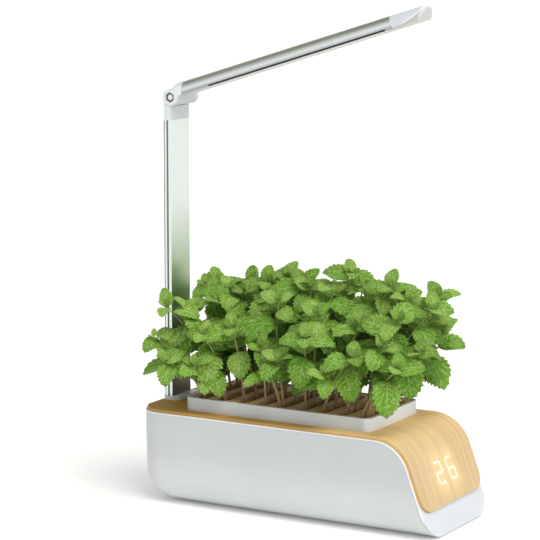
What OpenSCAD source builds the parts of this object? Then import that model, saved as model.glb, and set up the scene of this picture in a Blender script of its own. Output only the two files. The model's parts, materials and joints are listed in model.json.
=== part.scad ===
// Countertop hydroponic garden: a white base with a water tank and a small pump,
// a wood-look cover with a lit number display, a lift-out planting tray with mint,
// and a grow lamp on a tilting arm.
// Millimetres. Origin: middle of the footprint, on the surface it stands on.
// +X points to the display end, +Z up.

/* [Base] */
// Length of the base, rear wall to toe
base_l = 360; // [345:1:400]
// Width of the base
base_w = 148; // [144:1:156]
// Height of the base shell, underside to rim
base_h = 100; // [96:1:112]
// Radius along the two bottom edges
bottom_r = 28; // [20:1:30]
// Radius of the rear corners seen from above
corner_r = 29; // [20:1:32]
// Radius of the rear bottom edge seen from the side
heel_r = 37; // [30:1:42]
// Radius where the top turns into the sloping front
brow_r = 42; // [36:1:46]
// Slope of the front, measured from upright
front_slope = 20.6; // [16:0.2:24]
// Draft of the rear wall
rear_draft = 1.2; // [0:0.1:1.4]
// Wall of the base shell
shell_wall = 2.5; // [2:0.1:2.8]
// Rim left standing around the cover
rim_t = 1.5; // [1.2:0.1:1.8]
// Height of the front lip below the cover, along the slope
lip_h = 28; // [22:1:34]
// Height of the rubber feet below the shell
foot_h = 1.5; // [1:0.1:3]
// Radius of a rubber foot
foot_r = 7; // [5:0.5:9]

/* [Cover] */
// Height of the cover above the rim
cover_proud = 3.2; // [2:0.1:4]
// Depth of the cover's seat below the rim
cover_sink = 1; // [0.6:0.1:1.4]
// Gap between the cover and the rim
cover_gap = 0.4; // [0.2:0.1:0.6]
// Radius of the cover's lower corners
cover_toe_r = 10; // [6:1:14]
// Thickness left over the display
veneer_t = 1.2; // [0.8:0.1:1.6]

/* [Tray] */
// Distance from the rear wall to the planting tray
tray_rear_gap = 53.2; // [52:0.2:58]
// Distance from the planting tray to the toe
tray_front_gap = 78.8; // [76:0.2:90]
// Width of the planting tray
tray_w = 118; // [112:1:124]
// Height of the tray above the cover
tray_h = 14.5; // [13:0.5:18]
// Corner radius of the tray
tray_r = 10; // [7:0.5:14]
// Wall of the tray
tray_wall = 2.2; // [1.8:0.1:2.6]
// Depth of the basin below the cover
basin_depth = 32; // [26:1:36]
// Step from the tray's side down to the basin
basin_step = 4; // [3.5:0.1:5]
// How far the slat plate lies below the tray's edge
slat_drop = 1.5; // [0.5:0.1:2.5]
// Number of planting slots
slot_count = 9; // [7:1:9]
// Distance from the tray's end to the middle of the first slot
slot_end = 16.4; // [15:0.2:20]
// Width of the bar between two slots
slot_bar = 9.9; // [7:0.1:12]
// Distance from the tray's side to the end of a slot
slot_side = 10; // [8:0.5:16]
// How far the growing sponge lies below the top of the slats
sponge_drop = 6; // [4:0.5:8]

/* [Tank and pump] */
// Wall of the water tank
tank_wall = 2; // [1.6:0.1:2.6]
// Room between the tank and the side of the shell
tank_side_gap = 4.5; // [4.2:0.1:6]
// Distance from the tank to the toe
tank_toe_gap = 76; // [72:1:78]
// Radius along the tank's bottom edges
tank_r = 24; // [18:1:26]
// Length of the pump
pump_l = 36; // [34:1:40]
// Width of the pump
pump_w = 32; // [30:1:36]
// Height of the pump
pump_h = 28; // [26:1:32]
// Outer radius of the pump hose
hose_r = 5; // [4.5:0.1:6]

/* [Post] */
// Thickness of the post
post_t = 9.6; // [9:0.1:11]
// Width of the post
post_w = 38.2; // [36:0.2:40]
// Height of the top end of the post
post_top = 416.4; // [380:1:440]
// Gap between the post and the inside of the rear rim
post_back_gap = 3.4; // [3.2:0.1:4.5]
// Depth of the post below the cover
post_depth = 38; // [30:1:38]
// Height of the collar above the cover
collar_h = 4; // [3:0.5:6]

/* [Hinge] */
// Radius of the hinge barrel
barrel_r = 9.5; // [9:0.1:10.5]
// Length of the hinge barrel
barrel_l = 47.6; // [46:0.1:50]
// Height of the hinge axis above the post
hinge_rise = 25.2; // [24:0.1:28]
// Distance of the hinge axis in front of the middle of the post
hinge_lead = 3.7; // [3:0.1:4.5]
// Radius of the hinge bolt
bolt_r = 3; // [2.5:0.1:3.2]
// Width of the knuckle that the barrel turns on
knuckle_w = 12; // [9:0.5:14]
// Radial clearance of the bolt in the knuckle
bolt_clear = 0.05; // [0.02:0.01:0.08]
// Tilt upwards from the stored pose, in degrees
tilt_up = 60; // [30:1:60]
// Tilt downwards from the stored pose, in degrees
tilt_down = 25; // [10:1:25]

/* [Arm] */
// Rise of the arm in the stored pose, in degrees
arm_angle = 17; // [5:0.5:30]
// Width of the half-round arm
arm_w = 32; // [30:0.5:34]
// Height of the half-round arm
arm_h = 15.1; // [14:0.1:15.8]
// Depth of the arm's flat side below the hinge axis
arm_drop = 0.9; // [0.5:0.1:1.5]
// Length from the hinge axis to the tip
arm_l = 322.5; // [300:0.5:340]
// Wall of the aluminium channel
arm_wall = 1.6; // [1.2:0.1:2]
// Length of the white sleeve in front of the hinge axis
sleeve_l = 14.1; // [13:0.1:18]
// Length of the white end cap along the flat side
tip_l = 39; // [34:0.5:46]
// Start of the lamp window from the hinge axis
lamp_start = 50.5; // [45:0.5:60]
// Width of the lamp window
lamp_w = 19; // [14:0.5:20]
// Number of grow LEDs
led_count = 18; // [10:1:24]

/* [Plants] */
// Radius of a mint stem
stem_r = 1.6; // [1.2:0.1:2.2]
// Size factor of the plants' leafy heads
bush_scale = 1; // [0.8:0.05:1.05]

/* [Hidden] */

$fn = 64;
seat = 0.3;                 // gap left under a soft or loose piece
slip = 0.1;                 // gap of a hand fit
far = 600;                  // longer than the whole object
screw_r = 1.25;             // self-tapping screw M2.5
thread_gap = 0.03;          // round a screw in its own thread
through_gap = 0.15;         // round a screw that passes through
screw_head_r = 2.4;
screw_head_h = 1.8;

rear_x = -base_l / 2;
toe_x = base_l / 2;
floor_z = foot_h;                           // underside of the shell
rim_z = floor_z + base_h;
cover_top = rim_z + cover_proud;
cover_bottom = rim_z - cover_sink;

// Tray and what hangs in it
tray_l = base_l - tray_rear_gap - tray_front_gap;
tray_x = rear_x + tray_rear_gap + tray_l / 2;
tray_top = cover_top + tray_h;
basin_l = tray_l - 2 * basin_step;
basin_w = tray_w - 2 * basin_step;
basin_r = tray_r - 3;
basin_floor = cover_top - basin_depth;      // underside of the basin
slat_top = tray_top - slat_drop;
slat_bottom = cover_top + tray_wall;
slat_l = tray_l - 2 * tray_wall - 0.6;
slat_w = tray_w - 2 * tray_wall - 0.6;
sponge_top = slat_top - sponge_drop;
slot_pitch = (tray_l - 2 * slot_end) / (slot_count - 1);
slot_w = slot_pitch - slot_bar;
slot_l = tray_w - 2 * slot_side;
slot_x0 = tray_x - tray_l / 2 + slot_end;
inlet_r = hose_r - 0.6;                     // hole in the basin floor over the hose

// Tank
tank_front = toe_x - tank_toe_gap;
tank_rear = rear_x + heel_r + 3;
tank_hw = base_w / 2 - shell_wall - tank_side_gap;
tank_floor = floor_z + shell_wall;          // underside of the tank
tank_inside = tank_floor + tank_wall;
tank_top = cover_bottom - 0.6;
lead_y = base_w / 2 - shell_wall - tank_side_gap / 2;

// Pump, standing on its four pads in the tank
pump_x1 = tank_front - tank_wall - 6;       // intake face
pump_x0 = pump_x1 - pump_l;
pump_pad_h = 2;
pump_z0 = tank_inside + pump_pad_h;
pump_axis_z = pump_z0 + pump_h / 2;
chamber_r = 10;
chamber_l = 13;
rotor_r = 6;
rotor_l = 12;
spigot_r = hose_r - 1.5;
spigot_h = 9;
outlet_x = pump_x1 - chamber_l / 2;
hose_top = basin_floor - 0.4;
pump_lead_x = pump_x0 + 6;                  // where the pump's lead crosses the tank's edge

// Control board on its bosses in front of the tank
board_x0 = tank_front + 6;
board_l = 34;
board_w = 60;
board_z = tank_floor + 8;
board_t = 1.6;
board_top = board_z + board_t;
parts_h = 9;

// Display behind the slope: distances are along and square to the slope
display_s = 61.5;
display_w = 60;
display_h = 33;
mask_w = 48;
mask_h = 29;
mask_d = 8;
mask_front = cover_proud - veneer_t - 0.1;
mask_back = mask_front - mask_d;
digit_h = 23;
digit_w = 13;
digit_pitch = 27;
segment_t = 2.2;

// Post, its socket and the collar
post_rear = rear_x + post_back_gap;
post_front = post_rear + post_t;
post_mid = (post_rear + post_front) / 2;
post_hw = post_w / 2;
post_foot = cover_top - post_depth;
post_wall = 1.3;
post_side_wall = 2.8;
groove_w = 2;
groove_d = 1.2;
groove_x = post_front - 1.8 - groove_w / 2;
bracket_front = post_front + slip + 2.5;
bracket_flange_t = 3;
bracket_z1 = cover_bottom - bracket_flange_t;
bracket_z0 = post_foot - 2.5;
collar_rear = post_rear - 1.3;
collar_front = bracket_front + 8.6;
collar_hw = post_hw + 5.3;
flange_screw_x = bracket_front + 3.9;
flange_screw_y = 13;
clamp_screw_z = post_foot + 10;
clamp_screw_y = 10;

// DC inlet on the rear wall
jack_y = 33;
jack_z = floor_z + 50;
jack_r = 5;
jack_bore_r = 2.85;
jack_bore_l = 9.5;
jack_face_t = 1.3;
jack_flange_r = 6.5;
jack_seat = rear_line(jack_z + jack_flange_r, 0) + 0.6;
jack_inner = rear_line(jack_z, -shell_wall) + 0.25;
jack_l = 14;

// Hinge
hinge_x = post_mid + hinge_lead;
hinge_z = post_top + hinge_rise;
barrel_y0 = -post_hw;
barrel_y1 = barrel_y0 + barrel_l;
ring_r = barrel_r - 2.1;
ring_slot_r = ring_r + 0.4;
washer_t = 0.8;
ring_hw = knuckle_w / 2;
slot_hw = ring_hw + washer_t + 0.1;
neck_x0 = -6.5;
neck_x1 = -0.5;
neck_margin = 3;
neck_back = acos(neck_x0 / ring_slot_r);
neck_front = 90 + asin(-neck_x1 / barrel_r);
nut_af = 10;
nut_t = 5;
nut_pocket = 7.5;
head_r = 4.5;
head_t = 3.5;
head_pocket = 5.5;
barrel_end_r = 3.5;

// Arm, in its own frame: +X along the arm, origin on the hinge axis
arm_bottom = -arm_drop;
arm_top = arm_bottom + arm_h;
arm_r = (arm_w * arm_w / 4 + arm_h * arm_h) / (2 * arm_h);
arm_cz = arm_top - arm_r;
tip_x0 = arm_l - tip_l;                     // end of the channel along its flat side
tip_slant = 20;                             // slant of the channel's end
lamp_end = tip_x0 - 12;
led_board_t = 1.2;
led_t = 0.8;
led_side = 3;
lens_t = 0.7;
light_x = lamp_end + 3.2;
light_y = -lamp_w / 2 + 3;

// Mint: rows of plants along every slot. [foot as a share of the slot's length, leafy head's distance
// from the middle, its radius as a share of the slot pitch, half height, height over the slats]
plant_rows = [
    [-0.38, -62, 0.98, 36, 64], [-0.13, -20, 0.82, 40, 88],
    [0.13, 20, 0.82, 40, 88], [0.38, 62, 0.98, 36, 64]
];
rear_lean = 1.3;                            // spread of the heads towards the post
front_lean = 1.5;                           // and towards the display
head_play = 5;                              // how much the heads differ in height
rear_slots = 3;                             // slots whose plants make the rear node
middle_slots = 4;

// ---------------------------------------------------------------- helpers

function rear_line(z, d) = rear_x + (rim_z - z) * tan(rear_draft) - d / cos(rear_draft);
function slope_line(z, d) = toe_x - (z - floor_z) * tan(front_slope) + d / cos(front_slope);
function unit(v) = v / norm(v);
function slot_x(i) = slot_x0 + i * slot_pitch;
function head_x(i) = let (d = slot_x(i) - tray_x) tray_x + d * (d < 0 ? rear_lean : front_lean);
function head_z(i, p) = slat_top + p[4] + head_play * sin(130 * i + p[1]);

// Cuts a convex corner at v between the edge directions a and b to radius r
module corner_cut(v, a, b, r) {
    half = acos(a * b) / 2;
    reach = r / tan(half);
    centre = v + unit(a + b) * r / sin(half);
    difference() {
        polygon([v - unit(a + b), v + reach * a, centre, v + reach * b]);
        translate(centre) circle(r, $fn = 128);
    }
}

module along_x(len) rotate([90, 0, 90]) linear_extrude(len) children();
module along_y(len) rotate([90, 0, 0]) translate([0, 0, -len / 2]) linear_extrude(len) children();
module y_rod(r, y0, y1) translate([0, y0, 0]) rotate([-90, 0, 0]) cylinder(r = r, h = y1 - y0);
module x_rod(r, len) rotate([0, 90, 0]) cylinder(r = r, h = len);

module rounded(l, w, r) {
    square([l, w - 2 * r], center = true);
    square([l - 2 * r, w], center = true);
    for (sx = [-1, 1], sy = [-1, 1])
        translate([sx * (l / 2 - r), sy * (w / 2 - r)]) circle(r);
}

module slab(l, w, r, z0, z1) translate([0, 0, z0]) linear_extrude(z1 - z0) rounded(l, w, r);

module hex(af, len) rotate([-90, 0, 0]) rotate(30) cylinder(r = af / 2 / cos(30), h = len, $fn = 6);

module screw_up(len) {
    cylinder(r = screw_r, h = len, $fn = 24);
    translate([0, 0, -screw_head_h]) cylinder(r = screw_head_r, h = screw_head_h, $fn = 32);
}

// Straight rod of radius r from p to q
module rod(p, q, r) {
    d = q - p;
    translate(p)
        rotate([0, acos(d[2] / norm(d)), atan2(d[1], d[0])])
            cylinder(r = r, h = norm(d), $fn = 16);
}

// Ring of n points of radius r around p, square to direction d
function ring_points(p, d, r, n) =
    let (u = unit(cross(d, [0.36, 0.48, 0.8])), v = cross(d, u))
    [for (k = [0:n - 1]) p + r * (cos(360 * k / n) * u + sin(360 * k / n) * v)];

// Insulated lead that follows the points
module lead(points, r, n = 8) {
    last = len(points) - 1;
    rings = [for (i = [0:last])
        let (d = unit(points[min(i + 1, last)] - points[max(i - 1, 0)]))
        each ring_points(points[i], d, r, n)];
    sides = [for (i = [0:last - 1], k = [0:n - 1])
        [i * n + k, (i + 1) * n + k, (i + 1) * n + (k + 1) % n, i * n + (k + 1) % n]];
    start = [for (k = [0:n - 1]) k];
    end = [for (k = [0:n - 1]) last * n + n - 1 - k];
    polyhedron(rings, concat(sides, [start, end]));
}

// ---------------------------------------------------------------- base shapes

// Everything below the top and behind the slope, moved out by d
module under_top(d) {
    top = rim_z + d;
    corner = [slope_line(top, d), top];
    low = floor_z - 60;
    difference() {
        polygon([[rear_x - 60, top], corner, [slope_line(low, d), low], [rear_x - 60, low]]);
        corner_cut(corner, [-1, 0], [sin(front_slope), -cos(front_slope)], brow_r + d);
    }
}

// Everything in front of the rear wall and above the underside, moved out by d
module over_heel(d) {
    low = floor_z - d;
    high = rim_z + 60;
    corner = [rear_line(low, d), low];
    difference() {
        polygon([corner, [far, low], [far, high], [rear_line(high, d), high]]);
        corner_cut(corner, [-sin(rear_draft), cos(rear_draft)], [1, 0], heel_r + d);
    }
}

// Everything higher up the slope than s, from the toe
module above_slope(s) {
    translate([toe_x, floor_z]) rotate(front_slope) translate([-far, s]) square([2 * far, far]);
}

// U-shaped cross-section with half width hw
module trough(hw, low, r) {
    high = rim_z + 40;
    difference() {
        translate([-hw, low]) square([2 * hw, high - low]);
        for (side = [-1, 1])
            corner_cut([side * hw, low], [-side, 0], [0, 1], r);
    }
}

// Plan with rounded rear corners
module plan(x0, hw, r) {
    difference() {
        translate([x0, -hw]) square([far, 2 * hw]);
        for (side = [-1, 1])
            corner_cut([x0, side * hw], [1, 0], [0, -side], r);
    }
}

// The bent cover shape between two heights over the rim surface
module bent_sheet(inset, top, bottom) {
    hw = base_w / 2 - rim_t - inset;
    toe_r = cover_toe_r - inset;
    difference() {
        intersection() {
            along_y(2 * hw) intersection() {
                difference() {
                    under_top(top);
                    under_top(bottom);
                }
                above_slope(lip_h + inset);
            }
            linear_extrude(far) plan(rear_x + rim_t + inset, hw, corner_r - rim_t - inset);
        }
        on_slope(0) translate([-30, 0, 0]) along_x(60)
            for (side = [-1, 1])
                corner_cut([side * hw, lip_h + inset], [-side, 0], [0, 1], toe_r);
    }
}

// Places children on the slope: X square out of the rim surface, Z up the slope from the toe
module on_slope(s) {
    translate([toe_x, 0, floor_z]) rotate([0, -front_slope, 0]) translate([0, 0, s]) children();
}

module foot_places() {
    for (x = [rear_x + 56, toe_x - 32], side = [-1, 1])
        translate([x, side * (base_w / 2 - bottom_r - foot_r - 3), 0]) children();
}

module board_boss_places() {
    for (x = [board_x0 + 4, board_x0 + board_l - 4], side = [-1, 1])
        translate([x, side * (board_w / 2 - 4), 0]) children();
}

module display_boss_places() {
    for (side = [-1, 1], up = [-1, 1])
        translate([0, side * (display_w / 2 - 3.5), up * (display_h / 2 - 4)]) children();
}

// ---------------------------------------------------------------- base parts

module base_shell() color("whitesmoke") {
    difference() {
        union() {
            difference() {
                intersection() {
                    along_y(base_w) intersection() {
                        under_top(0);
                        over_heel(0);
                    }
                    translate([-far, 0, 0]) along_x(2 * far) trough(base_w / 2, floor_z, bottom_r);
                    linear_extrude(far) plan(rear_x, base_w / 2, corner_r);
                }
                shell_cavity();
                bent_sheet(0, 30, -cover_sink);
            }
            cover_ledges();
            board_boss_places() translate([0, 0, tank_floor - 0.5])
                cylinder(r = 3.2, h = board_z - tank_floor + 0.5, $fn = 32);
        }
        board_boss_places() translate([0, 0, tank_floor + 1])
            cylinder(r = screw_r + thread_gap, h = board_z, $fn = 24);
        foot_places() cylinder(r = foot_r, h = floor_z + 0.8);
        translate([rear_x - 5, jack_y, jack_z]) x_rod(jack_flange_r + 0.3, jack_seat - rear_x + 5);
        translate([rear_x - 5, jack_y, jack_z]) x_rod(jack_r + 0.1, 20);
    }
}

module shell_cavity() {
    intersection() {
        along_y(base_w) intersection() {
            over_heel(-shell_wall);
            union() {
                under_top(-shell_wall);
                above_slope(lip_h + 4);
            }
        }
        translate([-far, 0, 0]) along_x(2 * far)
            trough(base_w / 2 - shell_wall, floor_z + shell_wall, bottom_r - shell_wall);
        linear_extrude(far) plan(rear_x + shell_wall, base_w / 2 - shell_wall, corner_r - shell_wall);
    }
}

// Rails inside both walls that carry the cover
module cover_ledges() {
    rail_w = 2.5;
    rail_t = 3;
    hw = base_w / 2 - shell_wall;
    intersection() {
        along_y(base_w) intersection() {
            difference() {
                under_top(-cover_sink);
                under_top(-cover_sink - rail_t);
            }
            above_slope(lip_h);
            translate([rear_x + corner_r, 0]) square([far, far]);
        }
        for (side = [-1, 1])
            translate([0, side * (hw - rail_w / 2 + 0.25), 0])
                cube([2 * far, rail_w + 0.5, 2 * far], center = true);
    }
}

module rubber_feet() color("dimgray")
    foot_places() cylinder(r = foot_r - 0.1, h = floor_z + 0.7);

module top_cover() color("burlywood") {
    difference() {
        union() {
            bent_sheet(cover_gap, cover_proud, -cover_sink);
            on_slope(display_s) display_boss_places() translate([mask_back, 0, 0])
                x_rod(3, -cover_sink - mask_back + 0.5);
        }
        translate([tray_x, 0, 0])
            slab(basin_l + 1, basin_w + 1, basin_r + 0.5, cover_bottom - 5, cover_top + 5);
        translate([(collar_rear + 1.1 + collar_front - 1.6) / 2, 0, cover_bottom - 5])
            linear_extrude(far)
                square([collar_front - collar_rear - 2.7, 2 * collar_hw - 7.8], center = true);
        on_slope(display_s) translate([mask_front + 0.1 - 20, -mask_w / 2 - 0.3, -mask_h / 2 - 0.3])
            cube([20, mask_w + 0.6, mask_h + 0.6]);
        on_slope(display_s) display_boss_places() translate([mask_back - 1, 0, 0])
            x_rod(screw_r + thread_gap, -mask_back + 0.5);
    }
}

module tank_solid(hw, low, r, x0, x1) {
    intersection() {
        translate([x0, 0, 0]) along_x(x1 - x0) trough(hw, low, r);
        translate([0, 0, low]) linear_extrude(tank_top - low + 1)
            translate([(x0 + x1) / 2, 0]) rounded(x1 - x0, 2 * hw, 8);
    }
}

module water_tank() color("gainsboro") {
    notch_w = 3.6;
    notch_h = 6.5;
    difference() {
        intersection() {
            tank_solid(tank_hw, tank_floor, tank_r, tank_rear, tank_front);
            translate([-far, -far, 0]) cube([2 * far, 2 * far, tank_top]);
        }
        tank_solid(tank_hw - tank_wall, tank_inside, tank_r - tank_wall,
                   tank_rear + tank_wall, tank_front - tank_wall);
        translate([pump_lead_x - notch_w / 2, -tank_hw - 1, tank_top - notch_h])
            cube([notch_w, tank_wall + 2, notch_h + 1]);
    }
}

module pump_housing() color("dimgray") {
    difference() {
        union() {
            translate([pump_x0, -pump_w / 2, pump_z0]) cube([pump_l, pump_w, pump_h]);
            for (x = [pump_x0 + 4, pump_x1 - 4], side = [-1, 1])
                translate([x, side * (pump_w / 2 - 4), tank_inside + 0.05])
                    cylinder(r = 3, h = pump_pad_h + 1, $fn = 32);
            translate([outlet_x, 0, pump_z0 + pump_h - 1]) cylinder(r = spigot_r, h = spigot_h + 1);
        }
        translate([pump_x1 - chamber_l, 0, pump_axis_z]) x_rod(chamber_r, chamber_l + 1);
        translate([pump_x1 - chamber_l - rotor_l - 1, 0, pump_axis_z]) x_rod(rotor_r + 0.5, rotor_l + 2);
        translate([pump_x1 - chamber_l - rotor_l - 4, 0, pump_axis_z]) x_rod(1 + 0.01, 6);
        translate([outlet_x, 0, pump_axis_z]) cylinder(r = spigot_r - 1.2, h = pump_h);
    }
}

module pump_cover() color("gray") {
    difference() {
        translate([pump_x1 + 0.02, -pump_w / 2, pump_z0]) cube([3, pump_w, pump_h]);
        for (k = [-2:2])
            if (k != 0)
                translate([pump_x1 - 1, k * 3.4 - 0.8, pump_axis_z - 6]) cube([6, 1.6, 12]);
        translate([pump_x1 - 1, 0, pump_axis_z]) x_rod(1 + 0.01, 2.5);
    }
}

module pump_impeller() color("ivory") {
    translate([pump_x1 - chamber_l, 0, pump_axis_z]) difference() {
        union() {
            translate([-rotor_l, 0, 0]) x_rod(rotor_r, rotor_l + 3);
            for (turn = [0:60:120])
                rotate([turn, 0, 0]) translate([1.5, -0.8, -(chamber_r - 1)])
                    cube([chamber_l - 3, 1.6, 2 * (chamber_r - 1)]);
            x_rod(3, chamber_l - 1);
        }
        translate([-rotor_l - 1, 0, 0]) x_rod(1.05, rotor_l + chamber_l + 2);
    }
}

module pump_shaft() color("white")
    translate([pump_x1 - chamber_l - rotor_l - 3.5, 0, pump_axis_z])
        x_rod(1, rotor_l + chamber_l + 4.5, $fn = 32);

module pump_hose() color("lightgray") {
    translate([outlet_x, 0, pump_z0 + pump_h + 0.1]) difference() {
        cylinder(r = hose_r, h = hose_top - pump_z0 - pump_h - 0.1);
        translate([0, 0, -1]) cylinder(r = spigot_r + 0.02, h = hose_top);
    }
}

module control_board() color("darkgreen") {
    difference() {
        translate([board_x0, -board_w / 2, board_z]) cube([board_l, board_w, board_t]);
        board_boss_places() translate([0, 0, board_z - 1])
            cylinder(r = screw_r + through_gap, h = 4, $fn = 24);
    }
}

module board_parts() color("black") {
    translate([board_x0 + 10, -9, board_top]) cube([14, 14, 1.4]);
    translate([board_x0 + 12, 14, board_top]) cylinder(r = 4, h = parts_h, $fn = 32);
    for (y = [-22, -12])
        translate([board_x0 + 12, y, board_top]) cube([8, 6, parts_h - 3]);
}

module board_screws() color("silver")
    board_boss_places() translate([0, 0, board_top]) mirror([0, 0, 1])
        screw_up(board_t + 4.5);

module dc_jack() color("black") {
    translate([0, jack_y, jack_z]) difference() {
        union() {
            translate([jack_seat - jack_face_t, 0, 0]) x_rod(jack_flange_r, jack_face_t);
            translate([jack_seat - 0.5, 0, 0]) x_rod(jack_r, jack_l + 0.5);
        }
        translate([jack_seat - jack_face_t - 1, 0, 0]) x_rod(jack_bore_r, jack_bore_l + 1);
    }
}

module dc_jack_nut() color("silver") {
    translate([jack_inner, jack_y, jack_z]) difference() {
        rotate([0, 90, 0]) cylinder(r = 6.9, h = 2.2, $fn = 6);
        translate([-1, 0, 0]) x_rod(jack_r + 0.03, 5);
    }
}

module power_lead() color("darkred") {
    x_out = jack_seat + jack_l;
    y = lead_y;
    lead([
        [x_out, jack_y, jack_z], [x_out + 6, jack_y, jack_z], [x_out + 11, jack_y + 5, jack_z],
        [x_out + 13, jack_y + 15, jack_z], [x_out + 15, y - 14, jack_z],
        [x_out + 19, y - 4, jack_z], [x_out + 26, y, jack_z],
        [tank_rear + 40, y, jack_z], [tank_front - 4, y, jack_z],
        [tank_front + 4, y - 2, jack_z - 1], [tank_front + 9, y - 10, jack_z - 4],
        [board_x0 + 10, board_w / 2 + 12, jack_z - 14], [board_x0 + 14, board_w / 2, board_top + 18],
        [board_x0 + 15, board_w / 2 - 6, board_top + 10], [board_x0 + 15, board_w / 2 - 8, board_top + 4],
        [board_x0 + 15, board_w / 2 - 8, board_top + 0.05]
    ], 1.4);
}

module lamp_lead() color("darkred") {
    y = lead_y;
    z = jack_z - 10;
    lead([
        [board_x0 + 23, board_w / 2 - 8, board_top + 0.05], [board_x0 + 23, board_w / 2 - 8, board_top + 6],
        [board_x0 + 22, board_w / 2 - 2, board_top + 13], [board_x0 + 17, board_w / 2 + 10, z - 8],
        [tank_front + 10, y - 8, z - 2], [tank_front + 5, y - 2, z], [tank_front - 3, y, z],
        [tank_rear + 40, y, z], [tank_rear + 8, y, z], [tank_rear + 1, y - 2, z],
        [tank_rear - 5, y - 9, z], [tank_rear - 10, y - 24, z], [tank_rear - 16, 20, z - 2],
        [post_mid + 10, 10, z - 4], [post_mid + 3, 2, z - 1], [post_mid, 0, z + 6],
        [post_mid, 0, z + 16], [post_mid, 0, 200], [post_mid, 0, post_top + 6]
    ], 1.3);
}

module pump_lead() color("black") {
    x = pump_lead_x;
    rise_y = -(basin_w / 2 + tank_hw - tank_wall) / 2;
    lead([
        [x, -pump_w / 2 + 6, pump_z0 + pump_h + 0.05], [x, -pump_w / 2 + 6, pump_z0 + pump_h + 6],
        [x, -pump_w / 2 + 2, pump_z0 + pump_h + 11],
        [x, -pump_w / 2 - 6, pump_z0 + pump_h + 16], [x, rise_y + 8, basin_floor - 8],
        [x, rise_y, basin_floor + 4], [x, rise_y, tank_top - 10], [x, rise_y - 1.5, tank_top - 4.5],
        [x, -tank_hw + tank_wall / 2, tank_top - 2.7], [x, -lead_y + 0.3, tank_top - 6],
        [x + 1, -lead_y, tank_top - 14], [x + 8, -lead_y, tank_top - 24],
        [tank_front - 4, -lead_y, tank_top - 30],
        [tank_front + 5, -lead_y + 2, tank_top - 34], [board_x0 + 6, -lead_y + 14, board_top + 30],
        [board_x0 + 8, -board_w / 2, board_top + 16], [board_x0 + 8, -board_w / 2 + 8, board_top + 8],
        [board_x0 + 8, -board_w / 2 + 8, board_top + 0.05]
    ], 1.1);
}

// Point s up the slope from the toe and d in front of it
function slope_point(s, d) = [slope_line(floor_z + s * cos(front_slope) + d * sin(front_slope), d), 0,
    floor_z + s * cos(front_slope) + d * sin(front_slope)];

module display_lead() color("black") {
    s = display_s - 8;
    back = mask_back - board_t - 0.05;
    x = board_x0 + 28;
    lead([
        slope_point(s, back), slope_point(s, back - 4), slope_point(s - 4, back - 8), [x, 0, board_top + 20],
        [x, 0, board_top + 8], [x, 0, board_top + 0.05]
    ], 1.3);
}

module display_board() color("darkgreen") {
    on_slope(display_s) difference() {
        translate([mask_back - board_t, -display_w / 2, -display_h / 2])
            cube([board_t, display_w, display_h]);
        display_boss_places() translate([mask_back - board_t - 1, 0, 0])
            x_rod(screw_r + through_gap, board_t + 2);
    }
}

// The seven bars of a digit, as numbered places: top, upper left, upper right, middle, ...
function bar_centre(k) =
    let (w = digit_w / 2, h = digit_h / 2)
    [[0, h], [-w, h / 2], [w, h / 2], [0, 0], [-w, -h / 2], [w, -h / 2], [0, -h]][k];
function bar_flat(k) = k == 0 || k == 3 || k == 6;

module digit_bars(depth, grow) {
    for (digit = [-0.5, 0.5], k = [0:6]) {
        centre = bar_centre(k);
        long = bar_flat(k) ? digit_w - segment_t - 1.6 : digit_h / 2 - segment_t - 1;
        size = bar_flat(k) ? [long, segment_t] : [segment_t, long];
        translate([0, digit * digit_pitch + centre[0], centre[1]])
            translate([0, -size[0] / 2 - grow, -size[1] / 2 - grow])
                cube([depth, size[0] + 2 * grow, size[1] + 2 * grow]);
    }
}

module display_mask() color("black") {
    on_slope(display_s) difference() {
        translate([mask_back, -mask_w / 2, -mask_h / 2]) cube([mask_d, mask_w, mask_h]);
        translate([mask_back - 1, 0, 0]) digit_bars(mask_d + 2, 0.2);
    }
}

module display_leds() color("lightyellow")
    on_slope(display_s) translate([mask_back + 0.02, 0, 0]) digit_bars(1, 0);

module display_screws() color("silver")
    on_slope(display_s) display_boss_places() translate([mask_back - board_t, 0, 0])
        rotate([0, 90, 0]) screw_up(board_t + 4);

// ---------------------------------------------------------------- post

module post_outline() {
    rear_round = 2.2;
    difference() {
        translate([post_rear, -post_hw]) square([post_t, post_w]);
        for (side = [-1, 1])
            corner_cut([post_rear, side * post_hw], [1, 0], [0, -side], rear_round);
    }
}

module post_hollow(gap) {
    translate([post_rear + post_wall + gap, -post_hw + post_side_wall + gap])
        square([post_t - 2 * (post_wall + gap), post_w - 2 * (post_side_wall + gap)]);
}

module post() color("silver") {
    difference() {
        translate([0, 0, post_foot]) linear_extrude(post_top - post_foot) difference() {
            post_outline();
            post_hollow(0);
            for (side = [-1, 1])
                translate([groove_x, side * post_hw]) square([groove_w, 2 * groove_d], center = true);
        }
        for (side = [-1, 1])
            translate([post_mid, side * clamp_screw_y, clamp_screw_z])
                x_rod(screw_r + thread_gap, post_t, $fn = 24);
    }
}

module post_bracket() color("slategray") {
    hw = post_hw + slip + 2.4;
    difference() {
        union() {
            translate([post_rear, -hw, bracket_z0])
                cube([bracket_front - post_rear, 2 * hw, cover_bottom - bracket_z0]);
            translate([post_rear, -collar_hw, bracket_z1])
                cube([collar_front - post_rear, 2 * collar_hw, bracket_flange_t]);
        }
        translate([post_rear - 1, -post_hw - slip, post_foot])
            cube([post_t + slip + 1, post_w + 2 * slip, post_depth + 5]);
        translate([post_mid, 0, bracket_z0 - 1]) cylinder(r = 3, h = 10);
        for (side = [-1, 1]) {
            translate([flange_screw_x, side * flange_screw_y, bracket_z1 - 1])
                cylinder(r = screw_r + through_gap, h = 6, $fn = 24);
            translate([post_mid, side * clamp_screw_y, clamp_screw_z])
                x_rod(screw_r + through_gap, 12, $fn = 24);
        }
    }
}

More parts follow.
